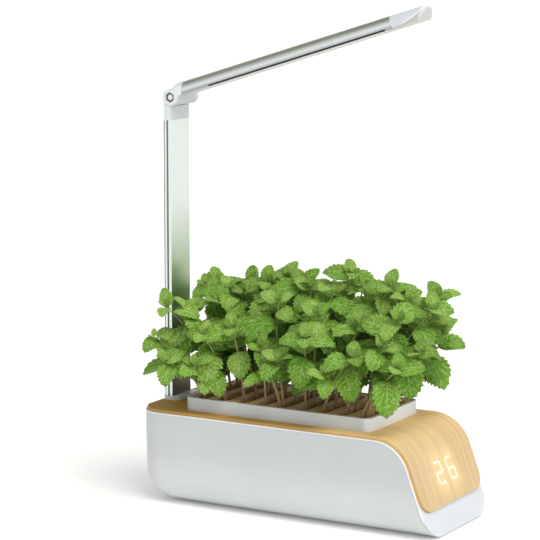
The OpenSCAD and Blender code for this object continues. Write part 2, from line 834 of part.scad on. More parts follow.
module bracket_screws() color("silver")
    for (side = [-1, 1])
        translate([flange_screw_x, side * flange_screw_y, bracket_z1]) screw_up(bracket_flange_t + 5.5);

module post_screws() color("silver")
    for (side = [-1, 1])
        translate([bracket_front, side * clamp_screw_y, clamp_screw_z])
            rotate([0, -90, 0]) screw_up(bracket_front - post_front + post_wall);

module post_collar() color("whitesmoke") {
    mid = (collar_rear + collar_front) / 2;
    root_rear = collar_rear + 1.2;
    root_front = collar_front - 1.7;
    difference() {
        union() {
            translate([mid, 0, 0])
                slab(collar_front - collar_rear, 2 * collar_hw, 8, cover_top, cover_top + collar_h);
            translate([root_rear, 4 - collar_hw, cover_bottom])
                cube([root_front - root_rear, 2 * collar_hw - 8, cover_top + 1 - cover_bottom]);
        }
        translate([post_rear - slip, -post_hw - slip, 0]) cube([post_t + 2 * slip, post_w + 2 * slip, far]);
        for (side = [-1, 1])
            translate([flange_screw_x, side * flange_screw_y, cover_bottom - 1])
                cylinder(r = screw_r + thread_gap, h = 7, $fn = 24);
    }
}

module post_cap() color("gainsboro") {
    plug_h = 12;
    difference() {
        union() {
            difference() {
                translate([0, 0, post_top]) linear_extrude(hinge_rise - 3) post_outline();
                translate([hinge_x, 0, hinge_z]) y_rod(barrel_r + 0.4, -far / 2, far / 2);
            }
            translate([0, 0, post_top - plug_h]) linear_extrude(plug_h + 1) post_hollow(slip);
            translate([hinge_x, 0, hinge_z]) {
                y_rod(ring_r, -ring_hw, ring_hw);
                translate([neck_x0, -ring_hw, -barrel_r - 4])
                    cube([neck_x1 - neck_x0, knuckle_w, barrel_r + 1]);
            }
        }
        translate([hinge_x, 0, hinge_z]) y_rod(bolt_r + bolt_clear, -far / 2, far / 2);
        translate([post_mid, 0, post_top - plug_h - 1]) cylinder(r = 1.9, h = plug_h + 8);
    }
}

// ---------------------------------------------------------------- arm

// Places children in the arm's frame at the stored pose
module on_arm() translate([hinge_x, 0, hinge_z]) rotate([0, -arm_angle, 0]) children();

// Half-round section in Y and Z, moved in by d
module half_round(d) {
    intersection() {
        translate([0, arm_cz]) circle(arm_r - d, $fn = 128);
        translate([-far, arm_bottom + d]) square([2 * far, far]);
    }
}

// Everything on the hinge side of the slanted joint near the tip
module before_tip(gap) {
    top_x = tip_x0 - arm_h * tan(tip_slant);
    polygon([
        [-far, arm_bottom - 10], [tip_x0 + 10 * tan(tip_slant) - gap, arm_bottom - 10],
        [tip_x0 - gap, arm_bottom], [top_x - gap, arm_top],
        [top_x - 10 * tan(tip_slant) - gap, arm_top + 10], [-far, arm_top + 10]
    ]);
}

module arm_knuckle() color("gainsboro") {
    sleeve_x0 = 1.2;
    sleeve_round = 6;
    tongue_z = arm_bottom + arm_wall + led_board_t + 4;
    difference() {
        union() {
            translate([hinge_x, 0, hinge_z]) barrel();
            on_arm() {
                intersection() {
                    along_x(sleeve_l) half_round(0);
                    along_y(arm_w + 10) difference() {
                        translate([sleeve_x0, arm_bottom - 1]) square([sleeve_l, arm_h + 1]);
                        corner_cut([sleeve_x0, arm_top], [1, 0], [0, -1], sleeve_round);
                    }
                }
                translate([sleeve_l - 1, -lamp_w / 2 + slip, arm_bottom])
                    cube([lamp_start - sleeve_l + 1 - slip, lamp_w - 2 * slip, 1.5]);
                translate([sleeve_l - 1, -lamp_w / 2 + slip, arm_bottom])
                    cube([19, lamp_w - 2 * slip, tongue_z - arm_bottom]);
            }
        }
        translate([hinge_x, 0, hinge_z]) knuckle_slot();
        translate([hinge_x, 0, hinge_z]) {
            y_rod(bolt_r + bolt_clear, -far / 2, far / 2);
            translate([0, barrel_y0 - 1, 0]) hex(nut_af + 0.3, nut_pocket + 1);
            y_rod(head_r + 0.2, barrel_y1 - head_pocket, barrel_y1 + 1);
        }
        on_arm() translate([barrel_r - 1, 0, arm_bottom + 5]) x_rod(1.6, 60, $fn = 32);
    }
}

module barrel() {
    rotate([-90, 0, 0]) rotate_extrude($fn = 128) difference() {
        translate([0, barrel_y0]) square([barrel_r, barrel_l]);
        corner_cut([barrel_r, barrel_y1], [-1, 0], [0, -1], barrel_end_r);
    }
}

// Room for the fixed ring, its washers and the sweep of its neck
module knuckle_slot() {
    first = -neck_back - tilt_up - neck_margin;
    last = -neck_front + tilt_down + neck_margin;
    steps = 12;
    reach = barrel_r + 3.5;
    y_rod(ring_slot_r, -slot_hw, slot_hw);
    along_y(2 * slot_hw) polygon(concat([[0, 0]], [for (k = [0:steps])
        let (a = first + (last - first) * k / steps) reach * [cos(a), sin(a)]]));
}

module hinge_bolt() color("silver") {
    translate([hinge_x, 0, hinge_z]) difference() {
        union() {
            y_rod(bolt_r, barrel_y0 + 1.2, barrel_y1 - head_pocket + 1);
            y_rod(head_r, barrel_y1 - head_pocket + 0.02, barrel_y1 - head_pocket + head_t);
        }
        translate([0, barrel_y1 - head_pocket + 1.2, 0]) hex(4, head_t);
    }
}

module hinge_nut() color("silver") {
    translate([hinge_x, 0, hinge_z]) difference() {
        translate([0, barrel_y0 + nut_pocket - nut_t - 0.02, 0]) hex(nut_af, nut_t);
        y_rod(bolt_r + 0.02, -far / 2, far / 2);
    }
}

module friction_washers() color("dimgray") {
    translate([hinge_x, 0, hinge_z])
        for (side = [0, 1]) mirror([0, side, 0]) difference() {
            y_rod(ring_r - 0.4, ring_hw + 0.05, ring_hw + 0.05 + washer_t);
            y_rod(bolt_r + 0.1, ring_hw - 1, ring_hw + 3);
        }
}

module arm_channel() color("silver") {
    on_arm() difference() {
        intersection() {
            translate([sleeve_l + 0.02, 0, 0]) along_x(arm_l) half_round(0);
            along_y(arm_w + 10) before_tip(0);
        }
        along_x(arm_l) half_round(arm_wall);
        translate([0, -lamp_w / 2, arm_bottom - 1]) cube([arm_l, lamp_w, arm_wall + 2]);
    }
}

module led_board() color("white") {
    on_arm() translate([lamp_start + 0.2, -lamp_w / 2 - 1.8, arm_bottom + arm_wall + 0.02])
        cube([lamp_end - lamp_start - 0.4, lamp_w + 3.6, led_board_t]);
}

module grow_leds() color("khaki") {
    pitch = (lamp_end - lamp_start) / led_count;
    on_arm() for (i = [0:led_count - 1])
        translate([lamp_start + pitch * (i + 0.5), 0, arm_bottom + arm_wall - led_t / 2])
            cube([led_side, led_side, led_t], center = true);
}

module lamp_diffuser() color("white") {
    on_arm() translate([lamp_start + slip, -lamp_w / 2 + slip, arm_bottom])
        cube([lamp_end - lamp_start - 2 * slip, lamp_w - 2 * slip, lens_t]);
}

module status_light() color("red")
    on_arm() translate([light_x, light_y, arm_bottom - 0.2]) cylinder(r = 1.3, h = 1.4, $fn = 32);

module arm_end_cap() color("whitesmoke") {
    lean = 9;
    nose_r = arm_w / 2;
    on_arm() difference() {
        union() {
            intersection() {
                along_x(arm_l) half_round(0);
                along_y(arm_w + 10) difference() {
                    polygon([
                        [tip_x0 - 60, arm_bottom], [arm_l - lean, arm_bottom],
                        [arm_l, arm_top - 3.5], [arm_l - 8.5, arm_top], [tip_x0 - 60, arm_top + 1]
                    ]);
                    before_tip(-0.02);
                }
                linear_extrude(far, center = true) {
                    translate([0, -nose_r]) square([arm_l - nose_r, 2 * nose_r]);
                    translate([arm_l - nose_r, 0]) circle(nose_r, $fn = 128);
                }
            }
            translate([lamp_end + slip, -lamp_w / 2 + slip, arm_bottom])
                cube([tip_x0 - lamp_end + 4, lamp_w - 2 * slip, arm_wall + 1]);
            translate([tip_x0 - 11, -8, arm_bottom + arm_wall + 0.1]) cube([14, 16, 7]);
        }
        translate([light_x, light_y, arm_bottom - 1]) cylinder(r = 1.35, h = 2.3, $fn = 32);
    }
}

module arm_lead() color("darkred") {
    z = arm_bottom + 5;
    board_z = arm_bottom + arm_wall + led_board_t;
    on_arm() lead([
        [sleeve_l - 2, 0, z], [sleeve_l + 6, 0, z], [sleeve_l + 16, 0, z], [lamp_start - 8, 0, z],
        [lamp_start + 2, 0, z + 0.2], [lamp_start + 5, 0, z - 0.4],
        [lamp_start + 6.5, 0, board_z + 1.1], [lamp_start + 6.5, 0, board_z + 0.05]
    ], 1.1);
}

// ---------------------------------------------------------------- tray and plants

module planting_tray() color("whitesmoke") {
    translate([tray_x, 0, 0]) difference() {
        union() {
            slab(tray_l, tray_w, tray_r, cover_top, tray_top);
            slab(basin_l, basin_w, basin_r, basin_floor, cover_top + 1);
        }
        slab(tray_l - 2 * tray_wall, tray_w - 2 * tray_wall, tray_r - tray_wall, slat_bottom, tray_top + 1);
        slab(basin_l - 4, basin_w - 4, basin_r - 2, basin_floor + 2, tray_top + 1);
        translate([outlet_x - tray_x, 0, basin_floor - 1]) cylinder(r = inlet_r, h = 4);
        for (x = [-tray_l / 2 + 14, -tray_l / 2 + 26])
            translate([x, 0, basin_floor - 1]) cylinder(r = 3, h = 4);
    }
}

module slot_outline(l, w) {
    square([w, l - w], center = true);
    for (side = [-1, 1]) translate([0, side * (l - w) / 2]) circle(w / 2);
}

module slat_plate() color("burlywood") {
    difference() {
        translate([tray_x, 0, 0])
            slab(slat_l, slat_w, tray_r - tray_wall - 0.3, slat_bottom + 0.02, slat_top);
        for (i = [0:slot_count - 1])
            translate([slot_x(i), 0, slat_bottom - 1]) linear_extrude(far) slot_outline(slot_l, slot_w);
    }
}

module grow_sponges() color("saddlebrown")
    for (i = [0:slot_count - 1])
        translate([slot_x(i), 0, basin_floor + 2 + seat])
            linear_extrude(sponge_top - basin_floor - 2 - seat) slot_outline(slot_l - 0.6, slot_w - 0.6);

// Leafy head of a plant: a long ball turned from an arc of points
module head(i, p) {
    r = p[2] * slot_pitch * bush_scale;
    h = p[3] * bush_scale;
    steps = 6;
    translate([head_x(i), p[1], head_z(i, p)])
        rotate_extrude($fn = 48)
            polygon([for (k = [0:steps])
                let (a = 180 * k / steps - 90) [r * cos(a), h * sin(a)]]);
}

// Plants of the slots from first to last: heads cut off halfway to the next node's, on their stems
module bush(first, last) color("forestgreen") {
    x0 = first == 0 ? -far / 2 : head_x(first - 0.5);
    x1 = last == slot_count - 1 ? far / 2 : head_x(last + 0.5) - seat;
    intersection() {
        union() for (i = [first:last], p = plant_rows) head(i, p);
        translate([x0, -far / 2, 0]) cube([x1 - x0, far, far]);
    }
    for (i = [first:last], p = plant_rows)
        rod([slot_x(i), p[0] * slot_l, sponge_top + seat + stem_r / 2],
            [head_x(i), p[1], head_z(i, p)], stem_r);
}

module mint_rear() bush(0, rear_slots - 1);
module mint_middle() bush(rear_slots, rear_slots + middle_slots - 1);
module mint_front() bush(rear_slots + middle_slots, slot_count - 1);

// ---------------------------------------------------------------- nodes

base_shell();
rubber_feet();
top_cover();
water_tank();
pump_housing();
pump_cover();
pump_impeller();
pump_shaft();
pump_hose();
control_board();
board_parts();
board_screws();
dc_jack();
dc_jack_nut();
power_lead();
pump_lead();
lamp_lead();
display_lead();
display_board();
display_mask();
display_leds();
display_screws();
post_bracket();
bracket_screws();
post_collar();
post();
post_screws();
post_cap();
arm_knuckle();
hinge_bolt();
hinge_nut();
friction_washers();
arm_channel();
led_board();
grow_leds();
lamp_diffuser();
status_light();
arm_end_cap();
arm_lead();
planting_tray();
slat_plate();
grow_sponges();
mint_rear();
mint_middle();
mint_front();
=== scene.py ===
"""Looks of the countertop hydroponic garden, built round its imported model."""
import json
from math import cos, degrees, pi, radians, sin, tan

import bmesh
import bpy
import numpy as np
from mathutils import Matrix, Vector


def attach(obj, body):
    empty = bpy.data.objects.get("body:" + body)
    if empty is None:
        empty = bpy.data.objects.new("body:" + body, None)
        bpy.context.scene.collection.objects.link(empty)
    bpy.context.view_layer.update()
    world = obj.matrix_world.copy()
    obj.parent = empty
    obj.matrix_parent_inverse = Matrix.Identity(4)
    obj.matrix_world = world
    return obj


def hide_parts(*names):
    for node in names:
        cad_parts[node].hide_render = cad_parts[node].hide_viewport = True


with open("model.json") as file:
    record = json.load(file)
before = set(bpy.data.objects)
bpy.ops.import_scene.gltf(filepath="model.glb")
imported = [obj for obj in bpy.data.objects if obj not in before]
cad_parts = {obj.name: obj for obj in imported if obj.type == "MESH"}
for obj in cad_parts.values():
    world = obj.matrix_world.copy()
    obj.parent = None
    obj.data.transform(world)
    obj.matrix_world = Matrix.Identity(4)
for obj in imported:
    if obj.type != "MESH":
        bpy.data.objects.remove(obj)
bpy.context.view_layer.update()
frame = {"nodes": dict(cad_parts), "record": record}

MM = 0.001
NODES = frame["nodes"]
BODY_OF = {n: body for body, names in frame["record"]["behaviour"]["bodies"].items() for n in names}
SLOT_OF = {row["node"]: row["material_slot"] for row in frame["record"]["subparts"]}

# Sizes of the garden in millimetres, as in the part's source
REAR, TOE, FLOOR, RIM = -180.0, 180.0, 1.5, 101.5
HALF_WIDTH, EDGE_R, HEEL_R, BROW_R = 74.0, 28.5, 37.0, 42.0
SLOPE, DRAFT = radians(20.6), radians(1.2)
WALL, RIM_T, LIP, PROUD, SINK = 2.5, 1.5, 28.0, 3.2, 1.0
COVER_TOP, COVER_GAP = RIM + PROUD, 0.4
TRAY_X, TRAY_HALF, SLAT_TOP, SPONGE_TOP = -12.8, 118.0, 117.7, 111.7
SLOT_X0, SLOT_PITCH, SLOT_COUNT = -110.4, 24.4, 9
HINGE = np.array([-168.1, 0.0, 441.6])
ARM_TILT, ARM_DROP = radians(17), 0.9
CAP_START, ARM_END = 283.0, 323.0
POST_REAR, POST_FRONT, POST_HW = -176.6, -167.0, 19.1
JACK, JACK_HOLE_R = (REAR - 5.0, 33.0, 51.5), 6.8
DISPLAY_S, DIGIT_PITCH, DIGIT_W, DIGIT_H = 61.5, 27.0, 13.0, 23.0

# Where these looks go further than the solids: the cover's lower corners are rounder, the post's
# groove lies further back, and its rear corners keep this share of their rounding
COVER_TOE_R, GROOVE_BACK, CORNER_SHARE = 18.0, 1.6, 0.45

BROW_TURN = pi / 2 - SLOPE
BROW_END = BROW_R * tan(BROW_TURN / 2)
BROW_X = TOE - (RIM - FLOOR) * tan(SLOPE) - BROW_END
BROW_S = (RIM - FLOOR) / cos(SLOPE) - BROW_END
BROW_CENTRE = np.array([BROW_X, RIM - BROW_R])
TOP_S = BROW_S + BROW_R * BROW_TURN

BLACK, WHITE = (0.0, 0.0, 0.0), (1.0, 1.0, 1.0)


# ---------------------------------------------------------------- shader trees

class Tree:
    """Puts nodes into a shader tree. An input that is a socket is linked, any other is set."""

    def __init__(self, tree):
        self.tree = tree

    def put(self, kind, inputs=None, **settings):
        node = self.tree.nodes.new(kind if kind.startswith("Node") else "ShaderNode" + kind)
        for name, value in settings.items():
            setattr(node, name, value)
        for name, value in (inputs or {}).items():
            self.join(value, node.inputs[name])
        return node

    def join(self, value, socket):
        if isinstance(value, bpy.types.NodeSocket):
            self.tree.links.new(value, socket)
        elif socket.type == "RGBA" and len(value) == 3:
            socket.default_value = (*value, 1.0)
        else:
            socket.default_value = value

    def math(self, operation, a, b=0.0):
        return self.put("Math", {0: a, 1: b}, operation=operation).outputs[0]

    def plus(self, a, b):
        return self.math("ADD", a, b)

    def less(self, a, b):
        return self.math("SUBTRACT", a, b)

    def times(self, a, *others):
        for other in others:
            a = self.math("MULTIPLY", a, other)
        return a

    def size(self, a):
        return self.math("ABSOLUTE", a)

    def most(self, a, b):
        return self.math("MAXIMUM", a, b)

    def length(self, a, b):
        return self.math("SQRT", self.plus(self.times(a, a), self.times(b, b)))

    def pick(self, flag, no, yes):
        return self.plus(self.times(yes, flag), self.times(no, self.less(1.0, flag)))

    def vector(self, operation, a, b=BLACK):
        node = self.put("VectorMath", {0: a, 1: b}, operation=operation)
        return node.outputs["Value" if operation in ("LENGTH", "DOT_PRODUCT") else "Vector"]

    def packed(self, x=0.0, y=0.0, z=0.0):
        return self.put("CombineXYZ", {0: x, 1: y, 2: z}).outputs[0]

    def parts(self, vector):
        return self.put("SeparateXYZ", {0: vector}).outputs

    def place(self, kind="Object"):
        """Where the point lies in metres, or with Normal the way it faces."""
        return self.put("TexCoord").outputs[kind]

    def stored(self, name, output="Vector"):
        return self.put("Attribute", attribute_name=name).outputs[output]

    def mix(self, share, a, b, blend="MIX"):
        node = self.put("Mix", {0: share, 6: a, 7: b}, data_type="RGBA", blend_type=blend)
        return node.outputs[2]

    def shade(self, colour, tone):
        grey = self.put("CombineColor", {0: tone, 1: tone, 2: tone}).outputs[0]
        return self.mix(1.0, colour, grey, "MULTIPLY")

    def span(self, value, low, high, to_low=0.0, to_high=1.0, **settings):
        """Goes from to_low to to_high while the value goes from low to high."""
        places = {"From Min": low, "From Max": high, "To Min": to_low, "To Max": to_high}
        return self.put("MapRange", {"Value": value, **places}, **settings).outputs["Result"]

    def reach(self, value, low, high, **settings):
        """0 to 1 between two places in millimetres."""
        return self.span(value, low * MM, high * MM, **settings)

    def band(self, value, low, high, soft=0.12):
        """1 between two places in millimetres, with soft ends."""
        return self.times(self.reach(value, low - soft, low + soft),
                          self.reach(value, high + soft, high - soft))

    def noise(self, place, scale, detail=2.0, roughness=0.5):
        return self.put("TexNoise", {"Vector": place, "Scale": scale, "Detail": detail,
                                     "Roughness": roughness}).outputs["Fac"]

    def stretched(self, place, stretch, detail=2.0, roughness=0.5):
        """Noise whose cells are 1 / stretch metres along each axis."""
        return self.noise(self.vector("MULTIPLY", place, stretch), 1.0, detail, roughness)

    def cells(self, place, scale):
        return self.put("TexVoronoi", {"Vector": place, "Scale": scale}).outputs["Distance"]

    def use(self, group, **inputs):
        return self.put("Group", inputs, node_tree=bpy.data.node_groups[group]).outputs


# Sockets of the shared effects that hold a colour or a vector; the others hold a number
COLOURS, VECTORS = ("Color", "Pale", "Middle", "Dark"), ("Place", "Stretch", "Centre", "Half")


def make_group(build, inputs, outputs):
    """A shader node group with named sockets; build returns its output sockets by name."""
    tree = bpy.data.node_groups.new(build.__name__, "ShaderNodeTree")
    for side, labels in (("INPUT", inputs), ("OUTPUT", outputs)):
        for label in labels.split():
            kind = "Color" if label in COLOURS else "Vector" if label in VECTORS else "Float"
            tree.interface.new_socket(name=label, in_out=side, socket_type="NodeSocket" + kind)
    t = Tree(tree)
    given, end = t.put("NodeGroupInput").outputs, t.put("NodeGroupOutput")
    for label, socket in build(t, given).items():
        t.join(socket, end.inputs[label])


def finish(build, name=None, **uniform):
    """A material with its own Principled shader. What changes over the surface comes from build,
    and the uniform values are set on the shader's sockets."""
    mat = bpy.data.materials.new(name or build.__name__)
    mat.use_nodes = True
    t, bsdf = Tree(mat.node_tree), mat.node_tree.nodes["Principled BSDF"]
    for label, value in {**uniform, **build(t)}.items():
        t.join(value, bsdf.inputs[label.replace("_", " ")])
    return mat


# ---------------------------------------------------------------- stage

def turned(thing, way, axis):
    """Puts a camera or lamp in the scene with its axis, Z or -Z, pointing the given way."""
    thing.rotation_mode = "QUATERNION"
    thing.rotation_quaternion = Vector(way).to_track_quat(axis, "Y")
    bpy.context.scene.collection.objects.link(thing)


def make_camera():
    """Long lens from the front right, a little above the object."""
    data = bpy.data.cameras.new("camera")
    data.lens, data.sensor_width = 155.0, 36.0
    data.clip_start, data.clip_end = 0.1, 60.0
    camera = bpy.data.objects.new("camera", data)
    place, aim = Vector((1.1947, -2.1661, 0.6517)), Vector((-0.0524, 0.0, 0.2571))
    camera.location = place
    turned(camera, aim - place, "-Z")
    bpy.context.scene.camera = camera


def make_world():
    """White all round for the lens; a plainer, softer white gives the light. Gloss sees a white
    horizon with a grey-olive ceiling that starts behind the object and passes overhead."""
    olive, light = (0.24, 0.238, 0.183), 0.53
    world = bpy.data.worlds.new("studio")
    bpy.context.scene.world = world
    world.use_nodes = True
    world.node_tree.nodes.clear()
    t = Tree(world.node_tree)
    path = t.put("LightPath").outputs
    seen = t.most(path["Is Camera Ray"], path["Is Transmission Ray"])
    way = t.parts(t.place("Generated"))
    over = t.times(t.span(way[1], -0.62, 0.12), t.span(way[2], 0.16, 0.45))
    colour = t.mix(path["Is Glossy Ray"], WHITE, t.mix(over, WHITE, olive))
    strength = t.span(t.most(seen, path["Is Glossy Ray"]), 0.0, 1.0, light, 1.0)
    back = t.put("Background", {"Color": colour, "Strength": strength})
    t.join(back.outputs[0], t.put("OutputWorld").inputs[0])


def make_lights():
    """A broad key from above and a lower one from the display end."""
    for name, toward, strength, spread in (("key", (0.40, -0.20, 0.88), 1.32, 36.0),
                                           ("front", (0.85, -0.20, 0.48), 0.95, 60.0)):
        data = bpy.data.lights.new(name, "SUN")
        data.energy, data.angle = strength, radians(spread)
        turned(bpy.data.objects.new(name, data), toward, "Z")


def white_table(t):
    """Plain white that is a little warmer and glows faintly for the lens alone."""
    path = t.put("LightPath").outputs
    seen = t.most(path["Is Camera Ray"], path["Is Glossy Ray"])
    return {"Base_Color": t.mix(seen, (0.86, 0.86, 0.86), (0.98, 0.965, 0.93)),
            "Emission_Color": t.mix(path["Is Camera Ray"], BLACK, (0.13, 0.135, 0.15))}


def make_floor():
    """A table top, wide enough to fill the view."""
    reach = 20.0
    mesh = bpy.data.meshes.new("floor")
    mesh.from_pydata([(-reach, -reach, 0), (reach, -reach, 0), (reach, reach, 0),
                      (-reach, reach, 0)], [], [(0, 1, 2, 3)])
    floor = bpy.data.objects.new("floor", mesh)
    bpy.context.scene.collection.objects.link(floor)
    mesh.materials.append(finish(white_table, Roughness=1.0, Specular_IOR_Level=0.0,
                                 Emission_Strength=1.0))


# ---------------------------------------------------------------- shared effects

def moulded_skin(t, given):
    """Fine sparkle of a moulded surface, with slow changes of tone and gloss."""
    fine = t.noise(t.place(), given["Grain"], 3.0, 0.6)
    tone = t.span(t.noise(t.place(), 14.0), 0.3, 0.7, 0.975, 1.02)
    rough = t.plus(given["Roughness"], t.span(fine, 0.3, 0.7, -0.04, 0.04))
    return {"Color": t.shade(given["Color"], tone), "Roughness": rough, "Height": fine}


def drawn_metal(t, given):
    """Long fine lines along one axis, as on brushed or drawn aluminium."""
    lines = t.stretched(given["Place"], given["Stretch"], 4.0, 0.65)
    rough = t.plus(given["Roughness"], t.span(lines, 0.3, 0.7, -0.05, 0.05))
    tone = t.span(lines, 0.25, 0.75, 0.93, 1.04)
    return {"Color": t.shade(given["Color"], tone), "Roughness": rough, "Height": lines}


def wood_grain(t, given):
    """Straight grain: slow bands and fine pores drawn out along the first coordinate."""
    place = given["Place"]
    across = t.times(t.less(t.stretched(place, (4.0, 9.0, 9.0)), 0.5), 0.03)
    bent = t.vector("ADD", place, t.packed(y=across))
    bands = t.stretched(bent, (2.2, 95.0, 95.0), 3.0, 0.55)
    lines = t.stretched(bent, (5.0, 330.0, 330.0), 3.0, 0.6)
    pores = t.stretched(bent, (60.0, 1500.0, 1500.0))
    colour = t.mix(t.span(bands, 0.25, 0.75, 0.3, 0.7), given["Middle"], given["Pale"])
    for share, tone in ((t.span(lines, 0.50, 0.70, 0.0, 0.85), "Pale"),
                        (t.span(lines, 0.46, 0.22, 0.0, 0.45), "Dark"),
                        (t.span(pores, 0.40, 0.25, 0.0, 0.25), "Dark")):
        colour = t.mix(share, colour, given[tone])
    return {"Color": colour, "Height": t.plus(t.times(lines, 0.6), t.times(pores, 0.4))}


def bar_distance(t, given):
    """Distance from a flat point to a bar of the display, or the distance before if it is less."""
    away = t.vector("ABSOLUTE", t.vector("SUBTRACT", given["Place"], given["Centre"]))
    out = t.vector("MAXIMUM", t.vector("SUBTRACT", away, given["Half"]))
    return {"Distance": t.math("MINIMUM", t.vector("LENGTH", out), given["Before"])}


# ---------------------------------------------------------------- finishes

def surface(t, colour, height, depth=0.05, strength=0.5, **more):
    """Colour, and bumps of a height; depth is in millimetres."""
    bump = t.put("Bump", {"Height": height, "Distance": depth * MM, "Strength": strength})
    return {"Base_Color": colour, "Normal": bump.outputs[0], **more}


def mould(t, colour, rough=0.34, grain=1100.0, depth=0.012):
    """Moulded skin in one colour or a colour that changes."""
    out = t.use("moulded_skin", Color=colour, Roughness=rough, Grain=grain)
    return surface(t, out["Color"], out["Height"], depth, Roughness=out["Roughness"])


def polished_aluminium(t):
    """The post: drawn aluminium with painted light. Where it stands among the plants its broad face
    takes a painted green-grey reflection of them, with painted shade and a dark reflection at its
    foot; painted shade lies in the groove, and a painted dark reflection along the back edge of its
    narrow sides."""
    groove_shade_line, back_reflection_line = (-172.5, -170.3), (-177.2, -175.0)
    plant_reflection_reach, foot_shade_reach = (342.0, 240.0), (215.0, 165.0)
    out = t.use("drawn_metal", Color=(0.815, 0.885, 0.865), Roughness=0.36,
                Stretch=(2200.0, 2200.0, 14.0), Place=t.place())
    place, facing = t.parts(t.place()), t.parts(t.place("Normal"))
    narrow, broad = t.span(t.size(facing[1]), 0.3, 0.5), t.span(facing[0], 0.5, 0.7)
    # painted green-grey reflection of the plants on the broad face, high up among them
    low = t.times(t.reach(place[2], *plant_reflection_reach, interpolation_type="SMOOTHSTEP"), broad)
    colour = t.mix(low, out["Color"], (0.45, 0.55, 0.385))
    # painted shade and dark reflection, dark brown, on the broad face near its foot
    colour = t.mix(t.times(t.reach(place[2], *foot_shade_reach), broad), colour, (0.15, 0.135, 0.11))
    # painted shade in the groove and a painted dark reflection along the back edge of the narrow
    # sides
    for line, share, dark in ((back_reflection_line, 0.86, (0.09, 0.10, 0.085)),
                              (groove_shade_line, 0.88, (0.10, 0.11, 0.10))):
        colour = t.mix(t.times(t.band(place[0], *line), narrow, share), colour, dark)
    return surface(t, colour, out["Height"], 0.004, Roughness=out["Roughness"])


def arm_frame(t):
    """Place from the hinge, distance along the arm, and height above its axis."""
    place = t.vector("SUBTRACT", t.place(), tuple(HINGE * MM))
    c, s = cos(ARM_TILT), sin(ARM_TILT)
    return (place, t.vector("DOT_PRODUCT", place, (c, 0.0, s)),
            t.vector("DOT_PRODUCT", place, (-s, 0.0, c)))


def satin_aluminium(t):
    """The arm: satin, with a painted shadow line along the foot of both sides, where the lamp's
    frame begins, under a softer painted shade."""
    side_start, line, shade_line_run, shade = (14.6, 15.0), (-0.5, 1.9), (50.0, 274.0), (5.6, 2.2)
    place, along, above = arm_frame(t)
    above_foot, y = t.plus(above, ARM_DROP * MM), t.parts(place)[1]
    grain = t.packed(t.times(along, 18.0), t.times(above, 900.0), t.times(y, 900.0))
    out = t.use("drawn_metal", Color=(0.85, 0.885, 0.895), Roughness=0.27, Stretch=WHITE,
                Place=grain)
    # painted shadow line in the gap where the lamp's frame begins
    gap_shade = t.times(t.band(above_foot, *line), t.reach(t.size(y), *side_start),
                  t.band(along, *shade_line_run), 0.95)
    # softer painted shade just above that line
    soft_shade = t.times(t.reach(above_foot, *shade), 0.62)
    colour = t.mix(gap_shade, t.mix(soft_shade, out["Color"], (0.16, 0.16, 0.14)), (0.02, 0.02, 0.02))
    return surface(t, colour, out["Height"], 0.006, Roughness=out["Roughness"])


def cap_white(t):
    """White end cap whose lower face turns in along a ridge, with painted shade on the lower face
    and a painted highlight along the ridge. The ridge rises with the power 1.75 of the way to the
    tip."""
    ridge_top, ridge_power, ridge_highlight_line = 13.0, 1.75, (-0.8, 1.2, 0.35)
    _, along, above = arm_frame(t)
    run = t.reach(along, CAP_START, ARM_END)
    over = t.less(above, t.times(t.math("POWER", run, ridge_power), ridge_top * MM))
    # painted shade on the lower face, darker and warmer near the joint
    under = t.mix(run, (0.56, 0.54, 0.49), (0.66, 0.68, 0.67))
    colour = t.mix(t.reach(over, 0.2, -0.4), (0.77, 0.80, 0.85), under)
    # painted highlight in white along the ridge
    return mould(t, t.mix(t.times(t.band(over, *ridge_highlight_line), t.span(run, 0.1, 0.4)), colour, WHITE))


def hinge_grey(t):
    """Pale grey moulding with painted light: it is brighter on the side where the nut is."""
    # painted light on the faces that turn to the nut's side
    pale = t.span(t.parts(t.place("Normal"))[1], -0.35, -0.9)
    return mould(t, t.mix(pale, (0.66, 0.69, 0.69), (0.90, 0.94, 0.95)), 0.38, 1000.0)


def tray_white(t):
    """White moulding with painted light: it is brighter on its top and on the side towards
    the display.
    """
    facing = t.parts(t.place("Normal"))
    # painted light on the top and on the faces towards the display
    pale = t.most(t.span(facing[0], 0.1, 0.6), t.span(facing[2], 0.5, 0.8))
    return mould(t, t.mix(pale, (0.64, 0.68, 0.675), (0.86, 0.90, 0.95)))


def out_of_profile(t, place):
    """Distance out of the rim profile: of the slope, the round brow or the level top."""
    x, z = t.less(place[0], TOE * MM), t.less(place[2], FLOOR * MM)
    c, s = cos(SLOPE), sin(SLOPE)
    slope, run = t.plus(t.times(x, c), t.times(z, s)), t.less(t.times(z, c), t.times(x, s))
    ahead, above = t.less(place[0], BROW_CENTRE[0] * MM), t.less(place[2], BROW_CENTRE[1] * MM)
    brow = t.less(t.length(ahead, above), BROW_R * MM)
    out = t.pick(t.math("GREATER_THAN", run, BROW_S * MM), slope, brow)
    return t.pick(t.math("LESS_THAN", ahead, 0.0), out, t.less(place[2], RIM * MM))


